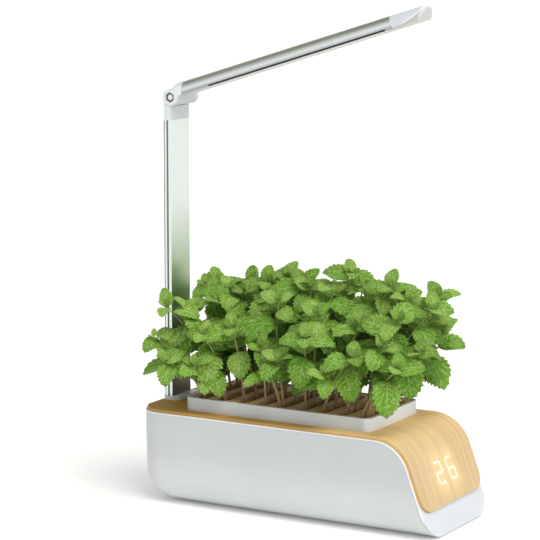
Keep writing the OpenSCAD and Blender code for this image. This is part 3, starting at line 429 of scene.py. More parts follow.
def base_white(t):
    """White moulding with painted light: paler towards the table, painted as light bounced up from
    it, and a painted highlight on its thin outer rim next to the cover, above a lip that is
    painted a darker, bluer white for how the light falls on it."""
    rim_highlight_deep, painted_lip_deep, rim_highlight_wide, bounce_reach = (-1.5, -1.0), (-4.0, -1.0), (1.8, 1.6), (75.0, 8.0)
    place = t.parts(t.place())
    out = out_of_profile(t, place)
    behind = t.most(t.less((REAR + EDGE_R) * MM, place[0]), 0.0)
    beside = t.most(t.less(t.size(place[1]), (HALF_WIDTH - EDGE_R) * MM), 0.0)
    # painted highlight in white along the thin outer rim
    rim = t.times(t.reach(out, *rim_highlight_deep),
                  t.reach(t.length(behind, beside), *(EDGE_R - wide for wide in rim_highlight_wide)))
    # painted light bounced up from the table: paler low down
    low = t.reach(place[2], *bounce_reach, interpolation_type="SMOOTHSTEP")
    plain = t.mix(low, (0.685, 0.715, 0.715), (0.83, 0.86, 0.835))
    # the lip's darker, bluer white is painted for how the light falls on it
    plain = t.mix(t.reach(out, *painted_lip_deep), plain, (0.655, 0.69, 0.725))
    return mould(t, t.mix(rim, plain, WHITE))


# The seven bars of a digit: place in half widths and half heights, and whether the bar lies level
BARS = ((0, 1, True), (-1, 0.5, False), (1, 0.5, False), (0, 0, True), (-1, -0.5, False),
        (1, -0.5, False), (0, -1, True))
TWO, SIX = (0, 2, 3, 4, 6), (0, 1, 3, 4, 5, 6)


def digit_distance(t, run, across):
    """Distance from the nearest lit bar's middle line, on digits that lean a little."""
    lean, bar_half = 0.12, 0.2 * MM
    long_half, tall_half = (DIGIT_W / 2 - 1.5) * MM, (DIGIT_H / 4 - 1.3) * MM
    up = t.less(run, DISPLAY_S * MM)
    flat, distance = t.packed(t.plus(across, t.times(up, lean)), up), 1.0
    for digit, lit in ((-0.5, TWO), (0.5, SIX)):
        for x, y, level in (BARS[bar] for bar in lit):
            centre = ((digit * DIGIT_PITCH + x * DIGIT_W / 2) * MM, y * DIGIT_H / 2 * MM, 0.0)
            half = (long_half, bar_half, 1.0) if level else (bar_half, tall_half, 1.0)
            distance = t.use("bar_distance", Place=flat, Centre=centre, Half=half,
                             Before=distance)["Distance"]
    return distance


def wood_cover(t):
    """Printed pale wood with lit digits that show through it, and painted light over the brow and
    the level top; the cut edge is browner.
    """
    lit_top_start, rear_start, halo_reach, bar_reach = (90.0, 135.0), (182.0, 222.0), 26.0, (1.25, 0.45)
    place = t.stored("grain")
    run, across, out = t.parts(place)
    wood = t.use("wood_grain", Place=place, Pale=(0.74, 0.57, 0.33), Middle=(0.58, 0.39, 0.18),
                 Dark=(0.47, 0.28, 0.11))
    distance, face = digit_distance(t, run, across), t.reach(out, PROUD - 0.5, PROUD - 0.1)
    rear = t.reach(run, *rear_start)
    # painted light: brighter over the brow and on the level top; towards the rear the wood turns
    # darker and browner
    top = t.mix(t.reach(run, *lit_top_start), WHITE, (1.42, 1.30, 1.0))
    tone = t.mix(1.0, wood["Color"], t.mix(rear, top, (0.72, 0.56, 0.23)), "MULTIPLY")
    stroke = t.times(t.reach(distance, *bar_reach), face)
    halo = t.times(t.math("POWER", t.reach(distance, halo_reach, 0.0), 2.0), face)
    edge = t.mix(rear, (0.76, 0.48, 0.18), (0.54, 0.34, 0.11))
    colour = t.mix(t.reach(out, 2.2, 3.0), edge, tone)
    colour = t.mix(t.times(halo, 0.40), colour, (1.0, 0.83, 0.46))
    colour = t.mix(t.times(stroke, 0.75), colour, (1.0, 0.94, 0.80))
    glow = t.mix(stroke, t.mix(halo, BLACK, (0.07, 0.035, 0.0)), (0.14, 0.13, 0.11))
    return surface(t, colour, wood["Height"], 0.03, 0.35, Emission_Color=glow)


def wood_slats(t):
    """Redder wood of the bars between the slots."""
    wood = t.use("wood_grain", Place=t.stored("grain"), Pale=(0.86, 0.58, 0.27),
                 Middle=(0.68, 0.41, 0.15), Dark=(0.42, 0.22, 0.07))
    return surface(t, wood["Color"], wood["Height"])


def damp_sponge(t):
    """Nearly black clods with open cells."""
    cells, clods = t.cells(t.place(), 450.0), t.noise(t.place(), 130.0, 4.0, 0.6)
    colour = t.mix(clods, (0.012, 0.008, 0.005), (0.06, 0.035, 0.02))
    return surface(t, colour, t.plus(clods, cells), 0.8, 1.0)


def mint_leaf(t):
    """Bright lamina with a paler midrib; painted shade along the veins that fork from it and
    painted highlights on the puffed cells between them; painted shade in the core of the plants."""
    veins, vein_slant, cell_rows, core_shade_side, core_shade_top = 8.0, 4.4, 2.2, (55.0, 15.0), (215.0, 150.0)
    uv = t.put("UVMap", uv_map="blade").outputs[0]
    across, up, _ = t.parts(uv)
    side, tint = t.size(t.less(across, 0.5)), t.stored("tint", "Fac")
    each = t.times(tint, 40.0)
    wander = t.times(t.noise(t.vector("ADD", uv, t.packed(z=each)), 5.0), 0.7)
    run = t.plus(t.less(t.times(up, veins), t.times(side, vein_slant)), wander)
    saw = t.size(t.less(t.math("FRACT", run), 0.5))
    vein_shade, rib = t.span(saw, 0.36, 0.5), t.span(side, 0.04, 0.0)
    grid = t.packed(t.times(run, cell_rows), t.times(across, 8.0), each)
    puffs = t.span(t.cells(grid, 1.0), 0.70, 0.15)
    deep = t.mix(tint, (0.036, 0.15, 0.003), (0.22, 0.49, 0.018))
    pale = t.mix(tint, (0.19, 0.44, 0.045), (0.86, 1.0, 0.44))
    # painted highlights on the puffed cells, and painted shade along the veins
    colour = t.mix(t.times(puffs, t.span(vein_shade, 0.0, 0.6, 1.0, 0.3), 0.74), deep, pale)
    colour = t.mix(t.times(rib, 0.8), colour, pale)
    place = t.parts(t.place())
    # painted shade in the core of the plants: colour halved there
    core = t.times(t.reach(t.size(place[1]), *core_shade_side), t.reach(place[2], *core_shade_top))
    colour = t.mix(core, colour, t.vector("MULTIPLY", colour, (0.5, 0.5, 0.5)))
    height = t.less(t.plus(t.times(saw, -1.2), t.times(puffs, 0.9)), t.times(rib, 0.8))
    return surface(t, colour, height, 0.8, 1.0, Roughness=t.span(puffs, 0.0, 1.0, 0.5, 0.32))


def mint_stem(t):
    """Streaked stem, brown at its foot and green towards its tip."""
    streak = t.stretched(t.place(), (900.0, 900.0, 120.0), 3.0)
    brown = t.mix(streak, (0.21, 0.12, 0.05), (0.58, 0.40, 0.21))
    green = t.mix(streak, (0.20, 0.27, 0.05), (0.46, 0.52, 0.16))
    return surface(t, t.mix(t.stored("tint", "Fac"), brown, green), streak, 0.2, 0.6)


def plastic(name, colour, rough, grain=900.0, depth=0.02, **uniform):
    """Moulding of one colour."""
    return finish(lambda t: mould(t, colour, rough, grain, depth), name, **uniform)


def turned_steel(t, colour, rough):
    """Steel with the same fine lines all round."""
    out = t.use("drawn_metal", Color=colour, Roughness=rough, Stretch=(300.0,) * 3,
                Place=t.place())
    return surface(t, out["Color"], out["Height"], 0.01, Roughness=out["Roughness"])


def make_finishes():
    """The finish of every material slot, and a few that single pieces take."""
    for build, inputs, outputs in (
            (moulded_skin, "Color Roughness Grain", "Color Roughness Height"),
            (drawn_metal, "Color Roughness Stretch Place", "Color Roughness Height"),
            (wood_grain, "Place Pale Middle Dark", "Color Height"),
            (bar_distance, "Place Centre Half Before", "Distance")):
        make_group(build, inputs, outputs)
    gloss = {"Coat_Weight": 0.15, "Coat_Roughness": 0.2}
    finishes = {
        "base_white": finish(base_white, **gloss),
        "cap_white": finish(cap_white, **gloss),
        "tray_white": finish(tray_white),
        "grey_plastic": finish(hinge_grey),
        "wood_look": finish(wood_cover, Roughness=0.55, Specular_IOR_Level=0.08,
                            Emission_Strength=1.0),
        "slat_wood": finish(wood_slats, Roughness=0.5, Specular_IOR_Level=0.15),
        "sponge": finish(damp_sponge, Roughness=0.85),
        "polished_aluminium": finish(polished_aluminium, Metallic=1.0),
        "satin_aluminium": finish(satin_aluminium, Metallic=1.0),
        "mint": finish(mint_leaf, Subsurface_Weight=0.2, Subsurface_Scale=0.003,
                       Subsurface_Radius=(0.5, 1.0, 0.2), Specular_IOR_Level=0.16),
        "mint_stem": finish(mint_stem, Roughness=0.6),
        "white_shell": plastic("white_shell", (0.77, 0.80, 0.79), 0.34, 1100.0, 0.012, **gloss),
        "board": plastic("board", (0.02, 0.14, 0.06), 0.35, 500.0),
        "red_lens": plastic("red_lens", (0.55, 0.01, 0.015), 0.3, Emission_Strength=0.15,
                            Emission_Color=(0.8, 0.02, 0.01)),
    }
    for name, colour, rough in (
            ("tank_plastic", (0.72, 0.76, 0.78), 0.45), ("black_plastic", (0.03, 0.03, 0.032), 0.5),
            ("rubber_foot", (0.05, 0.05, 0.05), 0.75), ("clear_hose", (0.62, 0.66, 0.66), 0.35),
            ("led", (0.92, 0.84, 0.55), 0.25), ("diffuser", (0.84, 0.84, 0.80), 0.55),
            ("lead_cover", (0.03, 0.03, 0.03), 0.6), ("washer_plastic", (0.08, 0.08, 0.08), 0.5),
            ("ceramic", (0.85, 0.85, 0.82), 0.3)):
        finishes[name] = plastic(name, colour, rough)
    # the nut's steel is painted dark, as painted shade in the hex recess
    for name, colour, rough in (("recess_shaded_steel", (0.20, 0.20, 0.19), 0.3),
                                ("steel", (0.78, 0.78, 0.77), 0.18)):
        finishes[name] = finish(lambda t: turned_steel(t, colour, rough), name, Metallic=1.0)
    return finishes


# ---------------------------------------------------------------- mesh tools

def add_object(name, mesh, node, material=None):
    """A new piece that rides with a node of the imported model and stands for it."""
    piece = bpy.data.objects.new(name, mesh)
    bpy.context.scene.collection.objects.link(piece)
    if material is not None:
        mesh.materials.clear()
        mesh.materials.append(material)
    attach(piece, BODY_OF[node])
    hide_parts(node)
    return piece


def soften(piece, width, segments=2, angle=35.0):
    """Rounds every sharp edge by width millimetres and keeps the flat faces flat."""
    piece.data.shade_smooth()
    bevel = piece.modifiers.new("edge", "BEVEL")
    bevel.width, bevel.segments = width * MM, segments
    bevel.limit_method, bevel.angle_limit = "ANGLE", radians(angle)
    bevel.miter_outer = "MITER_ARC"
    normals = piece.modifiers.new("normals", "WEIGHTED_NORMAL")
    normals.mode, normals.weight = "FACE_AREA_WITH_ANGLE", 80
    return piece


def merge(mesh, near):
    """Joins points that lie nearer than near metres, and faces that lie in one plane."""
    shape = bmesh.new()
    shape.from_mesh(mesh)
    bmesh.ops.remove_doubles(shape, verts=shape.verts, dist=near)
    bmesh.ops.dissolve_limit(shape, angle_limit=radians(0.05), verts=shape.verts,
                             edges=shape.edges)
    shape.to_mesh(mesh)
    shape.free()


def merged_copy(node):
    """The mesh of a node with its loose triangles joined."""
    mesh = NODES[node].data.copy()
    for name in ("custom_normal", "sharp_edge", "sharp_face"):
        if name in mesh.attributes:
            mesh.attributes.remove(mesh.attributes[name])
    merge(mesh, 2e-6)
    return mesh


def dressed(node, name, look, width, segments=2):
    """A softened copy of a node's own solid."""
    return soften(add_object(name, merged_copy(node), node, FINISH[look]), width, segments)


def store(mesh, name, kind, domain, field, values):
    """Puts one value per point or edge into a new attribute of the mesh."""
    layer = mesh.attributes.new(name, kind, domain)
    layer.data.foreach_set(field, np.ascontiguousarray(values, np.float32).ravel())


def set_grain(mesh, place):
    """Stores where each vertex lies in the grain: along, across and out, in metres."""
    store(mesh, "grain", "FLOAT_VECTOR", "POINT", "vector", np.stack(place, axis=-1) * MM)


def vertices_mm(mesh):
    """All points of a mesh, in millimetres."""
    co = np.empty(len(mesh.vertices) * 3, np.float32)
    mesh.vertices.foreach_get("co", co)
    return co.reshape(-1, 3).astype(float) / MM


def both_ends(mesh, flags):
    """Which edges have both of their points flagged."""
    ends = np.empty(len(mesh.edges) * 2, np.int32)
    mesh.edges.foreach_get("vertices", ends)
    return flags[ends.reshape(-1, 2)].all(axis=1)


def between(a, b, over=False):
    """Quads between two rows, or two grids, of point numbers along their first axis, or the same
    quads turned over."""
    quads = np.stack([a[:-1], b[:-1], b[1:], a[1:]], axis=-1).reshape(-1, 4)
    return quads[:, [0, 3, 2, 1]] if over else quads


def mesh_of(name, points, faces):
    """A mesh from points in millimetres, with every face turned outwards."""
    mesh = bpy.data.meshes.new(name)
    faces = [np.asarray(face).tolist() for face in faces]
    mesh.from_pydata((np.asarray(points) * MM).tolist(), [], faces)
    shape = bmesh.new()
    shape.from_mesh(mesh)
    bmesh.ops.recalc_face_normals(shape, faces=shape.faces)
    shape.to_mesh(mesh)
    shape.free()
    return mesh


def prism(name, near, far):
    """Closed prism between two outlines of as many points each."""
    n = len(near)
    k = np.arange(n)
    sides = np.stack([k, (k + 1) % n, n + (k + 1) % n, n + k], axis=-1)
    return mesh_of(name, np.concatenate([near, far]), [*sides, k[::-1], n + k])


def rod_mesh(centre, radius, length, sides=64):
    """Closed rod along X."""
    turn = np.linspace(0, 2 * pi, sides + 1)[:-1]
    ring = np.stack([np.zeros(sides), radius * np.cos(turn), radius * np.sin(turn)], axis=-1)
    return prism("rod", ring + centre, ring + [length, 0, 0] + centre)


def cut_away(mesh, cutters):
    """The mesh less each cutter, by exact Boolean."""
    scene = bpy.context.scene.collection
    body = bpy.data.objects.new("cut_body", mesh)
    scene.objects.link(body)
    tools = []
    for cutter in cutters:
        tool = bpy.data.objects.new("cut_tool", cutter)
        scene.objects.link(tool)
        tools.append(tool)
        step = body.modifiers.new("cut", "BOOLEAN")
        step.operation, step.solver, step.object = "DIFFERENCE", "EXACT", tool
    bpy.context.view_layer.update()
    graph = bpy.context.evaluated_depsgraph_get()
    result = bpy.data.meshes.new_from_object(body.evaluated_get(graph))
    for thing in (body, *tools):
        bpy.data.objects.remove(thing)
    return result


# ---------------------------------------------------------------- base

def along_profile(x, z):
    """Distance up the rim profile from the toe, over the brow and back along the top, and the
    distance out of it."""
    s = -(x - TOE) * sin(SLOPE) + (z - FLOOR) * cos(SLOPE)
    out_slope = (x - TOE) * cos(SLOPE) + (z - FLOOR) * sin(SLOPE)
    dx, dz = x - BROW_CENTRE[0], z - BROW_CENTRE[1]
    turn = np.arctan2(dz, dx)
    on_top = x <= BROW_X
    on_brow = (s > BROW_S) & ~on_top
    run = np.where(on_top, TOP_S + BROW_X - x,
                   np.where(on_brow, BROW_S + BROW_R * (turn - SLOPE), s))
    out = np.where(on_top, z - RIM, np.where(on_brow, np.hypot(dx, dz) - BROW_R, out_slope))
    return run, out


def profile_point(run, out):
    """The reverse of along_profile: x and z of a point at that run and distance out."""
    turn = SLOPE + np.clip((run - BROW_S) / BROW_R, 0.0, BROW_TURN)
    on_slope, on_top = run < BROW_S, run > TOP_S
    x = np.where(on_slope, TOE - run * sin(SLOPE) + out * cos(SLOPE),
                 np.where(on_top, BROW_X - (run - TOP_S),
                          BROW_CENTRE[0] + (BROW_R + out) * np.cos(turn)))
    z = np.where(on_slope, FLOOR + run * cos(SLOPE) + out * sin(SLOPE),
                 np.where(on_top, RIM + out, BROW_CENTRE[1] + (BROW_R + out) * np.sin(turn)))
    return x, z


def off_profile(run, y, out):
    """Points across the profile at one distance out of it."""
    x, z = profile_point(run, np.full_like(run, out))
    return np.stack([x, y, z], axis=-1)


def tub_sections(inset, top):
    """Points of a tub from side to side, row by row: its rear wall, heel and underside are one
    curve, drawn in by R(1 - cos a) as it turns into the sides at half width W - R + R sin a."""
    corner_r = EDGE_R - inset
    arc = np.radians(np.linspace(90.0, 0.0, 15))
    y_side = HALF_WIDTH - inset - corner_r + corner_r * np.sin(arc)
    drawn = inset + corner_r * (1 - np.cos(arc))
    y, d = np.concatenate([-y_side, y_side[::-1]]), np.concatenate([drawn, drawn[::-1]])
    low, r = FLOOR + d, HEEL_R - d
    corner_x = REAR + (RIM - low) * tan(DRAFT) + d / cos(DRAFT)
    half = (pi / 2 + DRAFT) / 2
    middle = np.array([1.0 - sin(DRAFT), cos(DRAFT)])
    middle /= np.linalg.norm(middle)
    turn = np.radians(np.linspace(180.0 + degrees(DRAFT), 270.0, 21))[:, None]
    heel_x = corner_x + middle[0] * r / sin(half) + r * np.cos(turn)
    heel_z = low + middle[1] * r / sin(half) + r * np.sin(turn)
    top_x = REAR + (RIM - top) * tan(DRAFT) + d / cos(DRAFT)
    toe_x = TOE - (low - FLOOR) * tan(SLOPE) - inset / cos(SLOPE)
    x = np.vstack([top_x, heel_x, toe_x])
    z = np.vstack([np.full_like(d, top), heel_z, low])
    return np.stack([x, np.broadcast_to(y, x.shape), z], axis=-1)


def tub(inset, top, brow_r, brow_steps):
    """Points and faces of a closed tub, cut off by the slope and the top with a round brow."""
    sections = tub_sections(inset, top)
    rows, cols = sections.shape[:2]
    index = np.arange(rows * cols).reshape(rows, cols)
    corner = TOE - (top - FLOOR) * tan(SLOPE) - inset / cos(SLOPE)
    angle = np.linspace(pi / 2, SLOPE, brow_steps)
    x = corner - brow_r * tan(BROW_TURN / 2) + brow_r * np.cos(angle)
    z = top - brow_r + brow_r * np.sin(angle)
    side = np.full_like(x, HALF_WIDTH - inset)
    brow = [np.stack([x, y, z], axis=-1) for y in (-side, side)]
    left = rows * cols + np.arange(brow_steps)
    right = left + brow_steps
    ends = [[*index[0], right[0], left[0]], [*index[-1][::-1], left[-1], right[-1]],
            [*index[:, 0][::-1], *left], [*index[:, -1], *right[::-1]]]
    wall, slope = between(index[:, :-1], index[:, 1:], over=True), between(left, right)
    return np.concatenate([sections.reshape(-1, 3), *brow]), [*wall, *ends, *slope]


def bent_block(start, end, half_width, toe_r, rear_r, low, high):
    """Block that follows the rim profile from run start to run end, with rounded outline corners:
    half width W - R + R sin a at a distance R(1 - cos a) from each end."""
    arc = np.linspace(0.0, pi / 2, 10)
    brow = np.linspace(BROW_S, TOP_S, 19)
    run = np.concatenate([start + toe_r * (1 - np.cos(arc)), brow,
                          end - rear_r * (1 - np.cos(arc[::-1]))])
    width = np.concatenate([half_width - toe_r + toe_r * np.sin(arc),
                            np.full(len(brow), half_width),
                            half_width - rear_r + rear_r * np.sin(arc[::-1])])
    points = [off_profile(run, side * width, out)
              for out, side in ((low, -1), (low, 1), (high, 1), (high, -1))]
    n = len(run)
    grid = np.stack(points, axis=1).reshape(-1, 3)
    index = np.arange(n * 4).reshape(n, 4)
    sides = [between(index[:, k], index[:, (k + 1) % 4], over=True) for k in range(4)]
    return grid, [*np.concatenate(sides), index[0], index[-1][::-1]]


def sharp_edges(mesh, angle):
    """1.0 for each edge whose two faces meet at more than angle degrees, else 0.0."""
    shape = bmesh.new()
    shape.from_mesh(mesh)
    turn = [edge.calc_face_angle(0.0) for edge in shape.edges]
    shape.free()
    return (np.array(turn) > radians(angle)).astype(float)


def make_base():
    """Hollow tub with the cover's recess and the jack's hole cut out. Its long outer edges are
    rounded in full, and its other sharp edges by a share of that."""
    sharp, inner_share, above_rim, hollow_brow_r = 40.0, 0.3, 20.0, 4.0
    outer = mesh_of("base_outer", *tub(0.0, RIM, BROW_R, 19))
    hollow = mesh_of("base_hollow", *tub(WALL, RIM + above_rim, hollow_brow_r, 3))
    recess = mesh_of("cover_recess", *bent_block(
        LIP, TOP_S + BROW_X - REAR - RIM_T, HALF_WIDTH - RIM_T, COVER_TOE_R, EDGE_R - RIM_T,
        -SINK, 30.0))
    mesh = cut_away(outer, [hollow, recess, rod_mesh(np.array(JACK), JACK_HOLE_R, 20.0)])
    mesh.name = "base_body"
    merge(mesh, 1e-6)
    piece = soften(add_object("base_body", mesh, "base_shell", FINISH["base_white"]), 1.1, 3, sharp)
    long_edges = both_ends(mesh, np.abs(vertices_mm(mesh)[:, 1]) > HALF_WIDTH - 0.01)
    store(mesh, "bevel_weight_edge", "FLOAT", "EDGE", "value",
          np.where(long_edges, 1.0, sharp_edges(mesh, sharp) * inner_share))
    piece.modifiers["edge"].limit_method = "WEIGHT"


def corner_tool(side):
    """Block on the slope outside the arc of one lower cover corner."""
    half, start = HALF_WIDTH - RIM_T - COVER_GAP, LIP + COVER_GAP
    r, beyond, under = COVER_TOE_R - COVER_GAP, 3, 2
    arc = np.linspace(0.0, pi / 2, 17)
    across = np.concatenate([half - r + r * np.cos(arc), [half - r, half + beyond, half + beyond]])
    run = np.concatenate([start + r - r * np.sin(arc), [start - beyond, start - beyond, start + r]])
    return prism("corner_tool", *(off_profile(run, side * across, out)
                                  for out in (-SINK - under, PROUD + beyond)))


def make_cover():
    """The bent wood-look cover, with its lower corners rounded."""
    mesh = cut_away(merged_copy("top_cover"), [corner_tool(-1), corner_tool(1)])
    piece = soften(add_object("wood_cover", mesh, "top_cover", FINISH["wood_look"]), 0.6, 3)
    x, y, z = vertices_mm(piece.data).T
    run, out = along_profile(x, z)
    set_grain(piece.data, (run, y, out))


def make_tray():
    """The planting tray and its slat plate, whose grain runs along the bars."""
    dressed("planting_tray", "tray_body", "tray_white", 0.7, 3)
    slats = dressed("slat_plate", "slat_bars", "slat_wood", 1.5, 4)
    x, y, z = vertices_mm(slats.data).T
    set_grain(slats.data, (y, x, z))


# ---------------------------------------------------------------- mint

# A leaf's edge: length of its stalk, two powers that shape the oval, depth of the notches between
# the teeth, and how far a tooth and a notch lean forward in steps between rows
STALK, OVAL_SKEW, OVAL_FULL, NOTCH, TOOTH_LEAN, NOTCH_LEAN = 0.06, 0.76, 0.68, 0.84, 0.45, -0.2

# Rows and columns of points on a leaf that shows well, and on one that others hide
FINE, PLAIN = (19, 3), (9, 3)

# Leaves turn towards the light of the room: its level direction, and by how much in radians
LIGHT, TURN_TO_LIGHT = (0.45, -0.89), 0.55

# Leaf pairs down a stem: distance below its tip, leaf length, angle at which it leaves, bend
PAIRS = ((0, 11, 64, 30), (2, 22, 44, 56), (9, 33, 28, 78), (25, 42, 16, 90), (46, 46, 8, 98),
         (70, 44, 2, 94), (95, 37, -4, 84))

# Stems of the near side and the ends: slot, place of the foot in it, and tip
NEAR_STEMS = (
    (0, -40, (-160, -68, 188)), (0, -32, (-140, -80, 165)), (0, -12, (-158, -46, 214)),
    (0, 12, (-146, 20, 230)), (1, -36, (-138, -32, 210)), (1, -42, (-98, -60, 192)),
    (1, -30, (-104, -74, 158)), (1, 12, (-104, 10, 233)), (2, -36, (-78, -44, 202)),
    (2, -12, (-110, -10, 222)), (2, 12, (-66, 20, 242)), (3, -38, (-34, -54, 188)),
    (3, -12, (-34, -20, 226)), (3, 12, (-46, 30, 244)), (4, -38, (-2, -66, 176)),
    (4, -12, (20, 10, 240)), (4, 12, (-26, 30, 243)), (5, -38, (28, -62, 202)),
    (5, -12, (26, -30, 218)), (5, 12, (32, 30, 258)), (6, -38, (82, -70, 186)),
    (6, -14, (72, -22, 214)), (6, 12, (88, 20, 245)), (7, -38, (119, -62, 194)),
    (7, -28, (56, -76, 164)), (7, -12, (128, -40, 220)), (7, 12, (115, 10, 240)),
    (8, -40, (140, -60, 178)), (8, -34, (142, -30, 192)), (8, -14, (146, 8, 232)),
    (8, 10, (142, 22, 218)), (8, 16, (134, 44, 200)), (8, 36, (130, 54, 186)),
    (8, -43, (116, -52, 156)), (0, -43, (-92, -60, 150)), (4, -43, (-16, -62, 156)))

# Rows of stems on the far side: place of the foot in each slot, and of the tip
FAR_ROWS, FORKS_FROM = ((24.0, 30.0), (40.0, 62.0)), 30


def blade_outline(rows):
    """Half width of a leaf over its length t: a short stalk, then a toothed oval that ends in a
    point; and how far the edge leans forward at each row."""
    t = np.linspace(0.0, 1.0, rows)
    u = np.clip((t - STALK) / (1.0 - STALK), 0.0, 1.0)
    oval = np.sin(pi * u ** OVAL_SKEW) ** OVAL_FULL * (1.0 - 0.06 * u)
    tooth = np.arange(rows) % 2 == 0
    half = np.maximum(oval * np.where(tooth, 1.0, NOTCH), 0.04)
    half[-1] = 0.015
    return t, half, np.where(tooth, TOOTH_LEAN, NOTCH_LEAN) * (u > 0) * (u < 1)


def leaves(at, azimuth, rise, droop, length, width, roll, fold, wave, rows, cols):
    """Leaf blades as grids, all at once. The midrib leaves at angle rise and bends down by droop
    times t ** 1.15. Across it the blade folds up like a shallow V, puffs up between its veins,
    and its edge waves."""
    t, half, lean = blade_outline(rows)
    n = len(length)
    angle = rise[:, None] - droop[:, None] * t[None, :] ** 1.15
    step = length[:, None] / (rows - 1)
    go = np.stack([np.cos(angle), np.sin(angle)], axis=-1) * step[..., None]
    mid = np.concatenate([np.zeros((n, 1, 2)), np.cumsum(go[:, :-1], axis=1)], axis=1)
    h = np.stack([np.cos(azimuth), np.sin(azimuth), np.zeros(n)], axis=-1)[:, None, :]
    up = np.array([0.0, 0.0, 1.0])
    centre = at[:, None, :] + mid[..., :1] * h + mid[..., 1:] * up
    ahead = np.cos(angle)[..., None] * h + np.sin(angle)[..., None] * up
    normal = -np.sin(angle)[..., None] * h + np.cos(angle)[..., None] * up
    c, s = np.cos(roll)[:, None, None], np.sin(roll)[:, None, None]
    sideways = np.cross(up, h)
    across, normal = c * sideways + s * normal, c * normal - s * sideways
    v = np.linspace(-1.0, 1.0, cols)
    away = np.abs(v)
    w = (width[:, None] / 2 * half[None, :])[..., None]
    puff = (np.where(np.arange(rows) % 2 == 0, -0.045, 0.045)[None, :, None]
            * away * (1 - away) * 4)
    ripple = 0.08 * away * np.sin(8.0 * t[None, :, None] + wave[:, None, None] + 1.7 * np.sign(v))
    lift = (fold[:, None, None] * away - 0.12 * away ** 2 + puff + ripple) * w
    top = (centre[:, :, None, :] + across[:, :, None, :] * (v * w)[..., None]
           + normal[:, :, None, :] * lift[..., None]
           + ahead[:, :, None, :] * (lean * step)[..., None, None] * (away ** 2)[:, None])
    under = top - normal[:, :, None, :] * (0.4 * (1 - away))[None, None, :, None]
    return top, under


def leaf_mesh(table, rows, cols):
    """Points, quads, texture places, rim flags and tints of the leaves in a table. Both skins of
    a leaf share the points of its rim."""
    top, under = leaves(table[:, :3], *table[:, 3:11].T, rows, cols)
    n, grid = len(table), rows * cols
    inside = np.zeros((rows, cols), bool)
    inside[1:-1, 1:-1] = True
    index = np.arange(grid).reshape(rows, cols)
    low = index.copy()
    low[inside] = grid + np.arange(inside.sum())
    upper, lower = (between(g[:, :-1], g[:, 1:]) for g in (index, low))
    one = np.concatenate([upper, lower[:, ::-1]])
    size = grid + inside.sum()
    points = np.concatenate([top.reshape(n, grid, 3), under[:, inside]], axis=1).reshape(-1, 3)
    faces = (one[None] + (np.arange(n) * size)[:, None, None]).reshape(-1, 4)
    u, v = np.meshgrid(np.linspace(0, 1, cols), np.linspace(0, 1, rows))
    place = np.stack([u, v], axis=-1)
    uv = np.tile(np.concatenate([place.reshape(-1, 2), place[inside]]), (n, 1))
    rim = np.tile(np.concatenate([~inside.ravel(), np.zeros(inside.sum(), bool)]), n)
    return points, faces, uv, rim, np.repeat(table[:, 11], size)


def stem_path(base, tip, count=14):
    """A stem that leaves its foot upright and leans out towards its tip."""
    t = np.linspace(0.0, 1.0, count)[:, None]
    bend = base + (tip - base) * np.array([0.25, 0.25, 0.62])
    return (1 - t) ** 2 * base + 2 * t * (1 - t) * bend + t ** 2 * tip


def tube(path, radius, sides=7):
    """Closed tube round a path, with the given radius at each of its points."""
    d = np.gradient(path, axis=0)
    d /= np.linalg.norm(d, axis=1)[:, None]
    side = np.cross(d, [0.3, 0.5, 0.81])
    side /= np.linalg.norm(side, axis=1)[:, None]
    other = np.cross(d, side)
    turn = np.linspace(0, 2 * pi, sides + 1)[:-1]
    ring = (np.cos(turn)[None, :, None] * side[:, None]
            + np.sin(turn)[None, :, None] * other[:, None])
    points = (path[:, None] + ring * radius[:, None, None]).reshape(-1, 3)
    n = len(path)
    index = np.arange(n * sides).reshape(n, sides)
    faces = between(index, np.roll(index, -1, axis=1))
    return points, [*faces, index[0][::-1], index[-1]]


def crown(x, y):
    """Height of the canopy: top + tilt x, lower by fall y ** 2 and, past its level part, by fall
    times the square of the distance along x."""
    top, tilt, fall, level_half = 245.0, 0.03, 0.004, 110
    return top + tilt * x - fall * y ** 2 - fall * np.maximum(np.abs(x) - level_half, 0) ** 2


def plan_stems(rng):
    """Each stem's foot in its slot, its tip in the canopy, and how many leaf pairs it has; shoots
    fork off the stems of the far side and lean out."""
    stems, foot_z = [], SPONGE_TOP + 0.5
    for slot, y, tip in NEAR_STEMS:
        foot = np.array([SLOT_X0 + slot * SLOT_PITCH + rng.uniform(-2.5, 2.5), y, foot_z])
        stems.append((foot, np.array(tip) + rng.uniform(-4, 4, 3), len(PAIRS)))
    for slot in range(SLOT_COUNT):
        x = SLOT_X0 + slot * SLOT_PITCH
        for y, side in FAR_ROWS:
            foot = np.array([x + rng.uniform(-2.5, 2.5), y + rng.uniform(-4, 4), foot_z])
            tx = (x - TRAY_X) * 1.32 + TRAY_X + rng.uniform(-9, 9)
            ty = side + rng.uniform(-7, 7)
            tip = np.array([tx, ty, crown(tx, ty) + rng.uniform(-20, 4)])
            stems.append((foot, tip, len(PAIRS)))
            if y > FORKS_FROM:
                fork = stem_path(foot, tip)[int(rng.integers(4, 8))]
                out = np.array([rng.uniform(-8, 8), rng.uniform(16, 30), rng.uniform(16, 44)])
                stems.append((fork, fork + out, 5))
    return stems


def keeps_clear(top):
    """Which leaves stay off the post, the collar, the rim of the tray and the cover, and within
    the room that the plants may take."""
    collar_front, collar_half, rim_top, rim_half = REAR + 19.0, 24.0, SLAT_TOP + 3.5, 63.0
    lowest, rearmost, widest = COVER_TOP + 3.0, -176.0, 99.0
    x, y, z = top[..., 0], top[..., 1], top[..., 2]
    post = (x < collar_front) & (np.abs(y) < collar_half)
    rim = (z < rim_top) & (np.abs(y) < rim_half) & (np.abs(x - TRAY_X) < TRAY_HALF)
    out = (z < lowest) | (x < rearmost) | (np.abs(y) > widest)
    return ~(post | rim | out).any(axis=(1, 2))


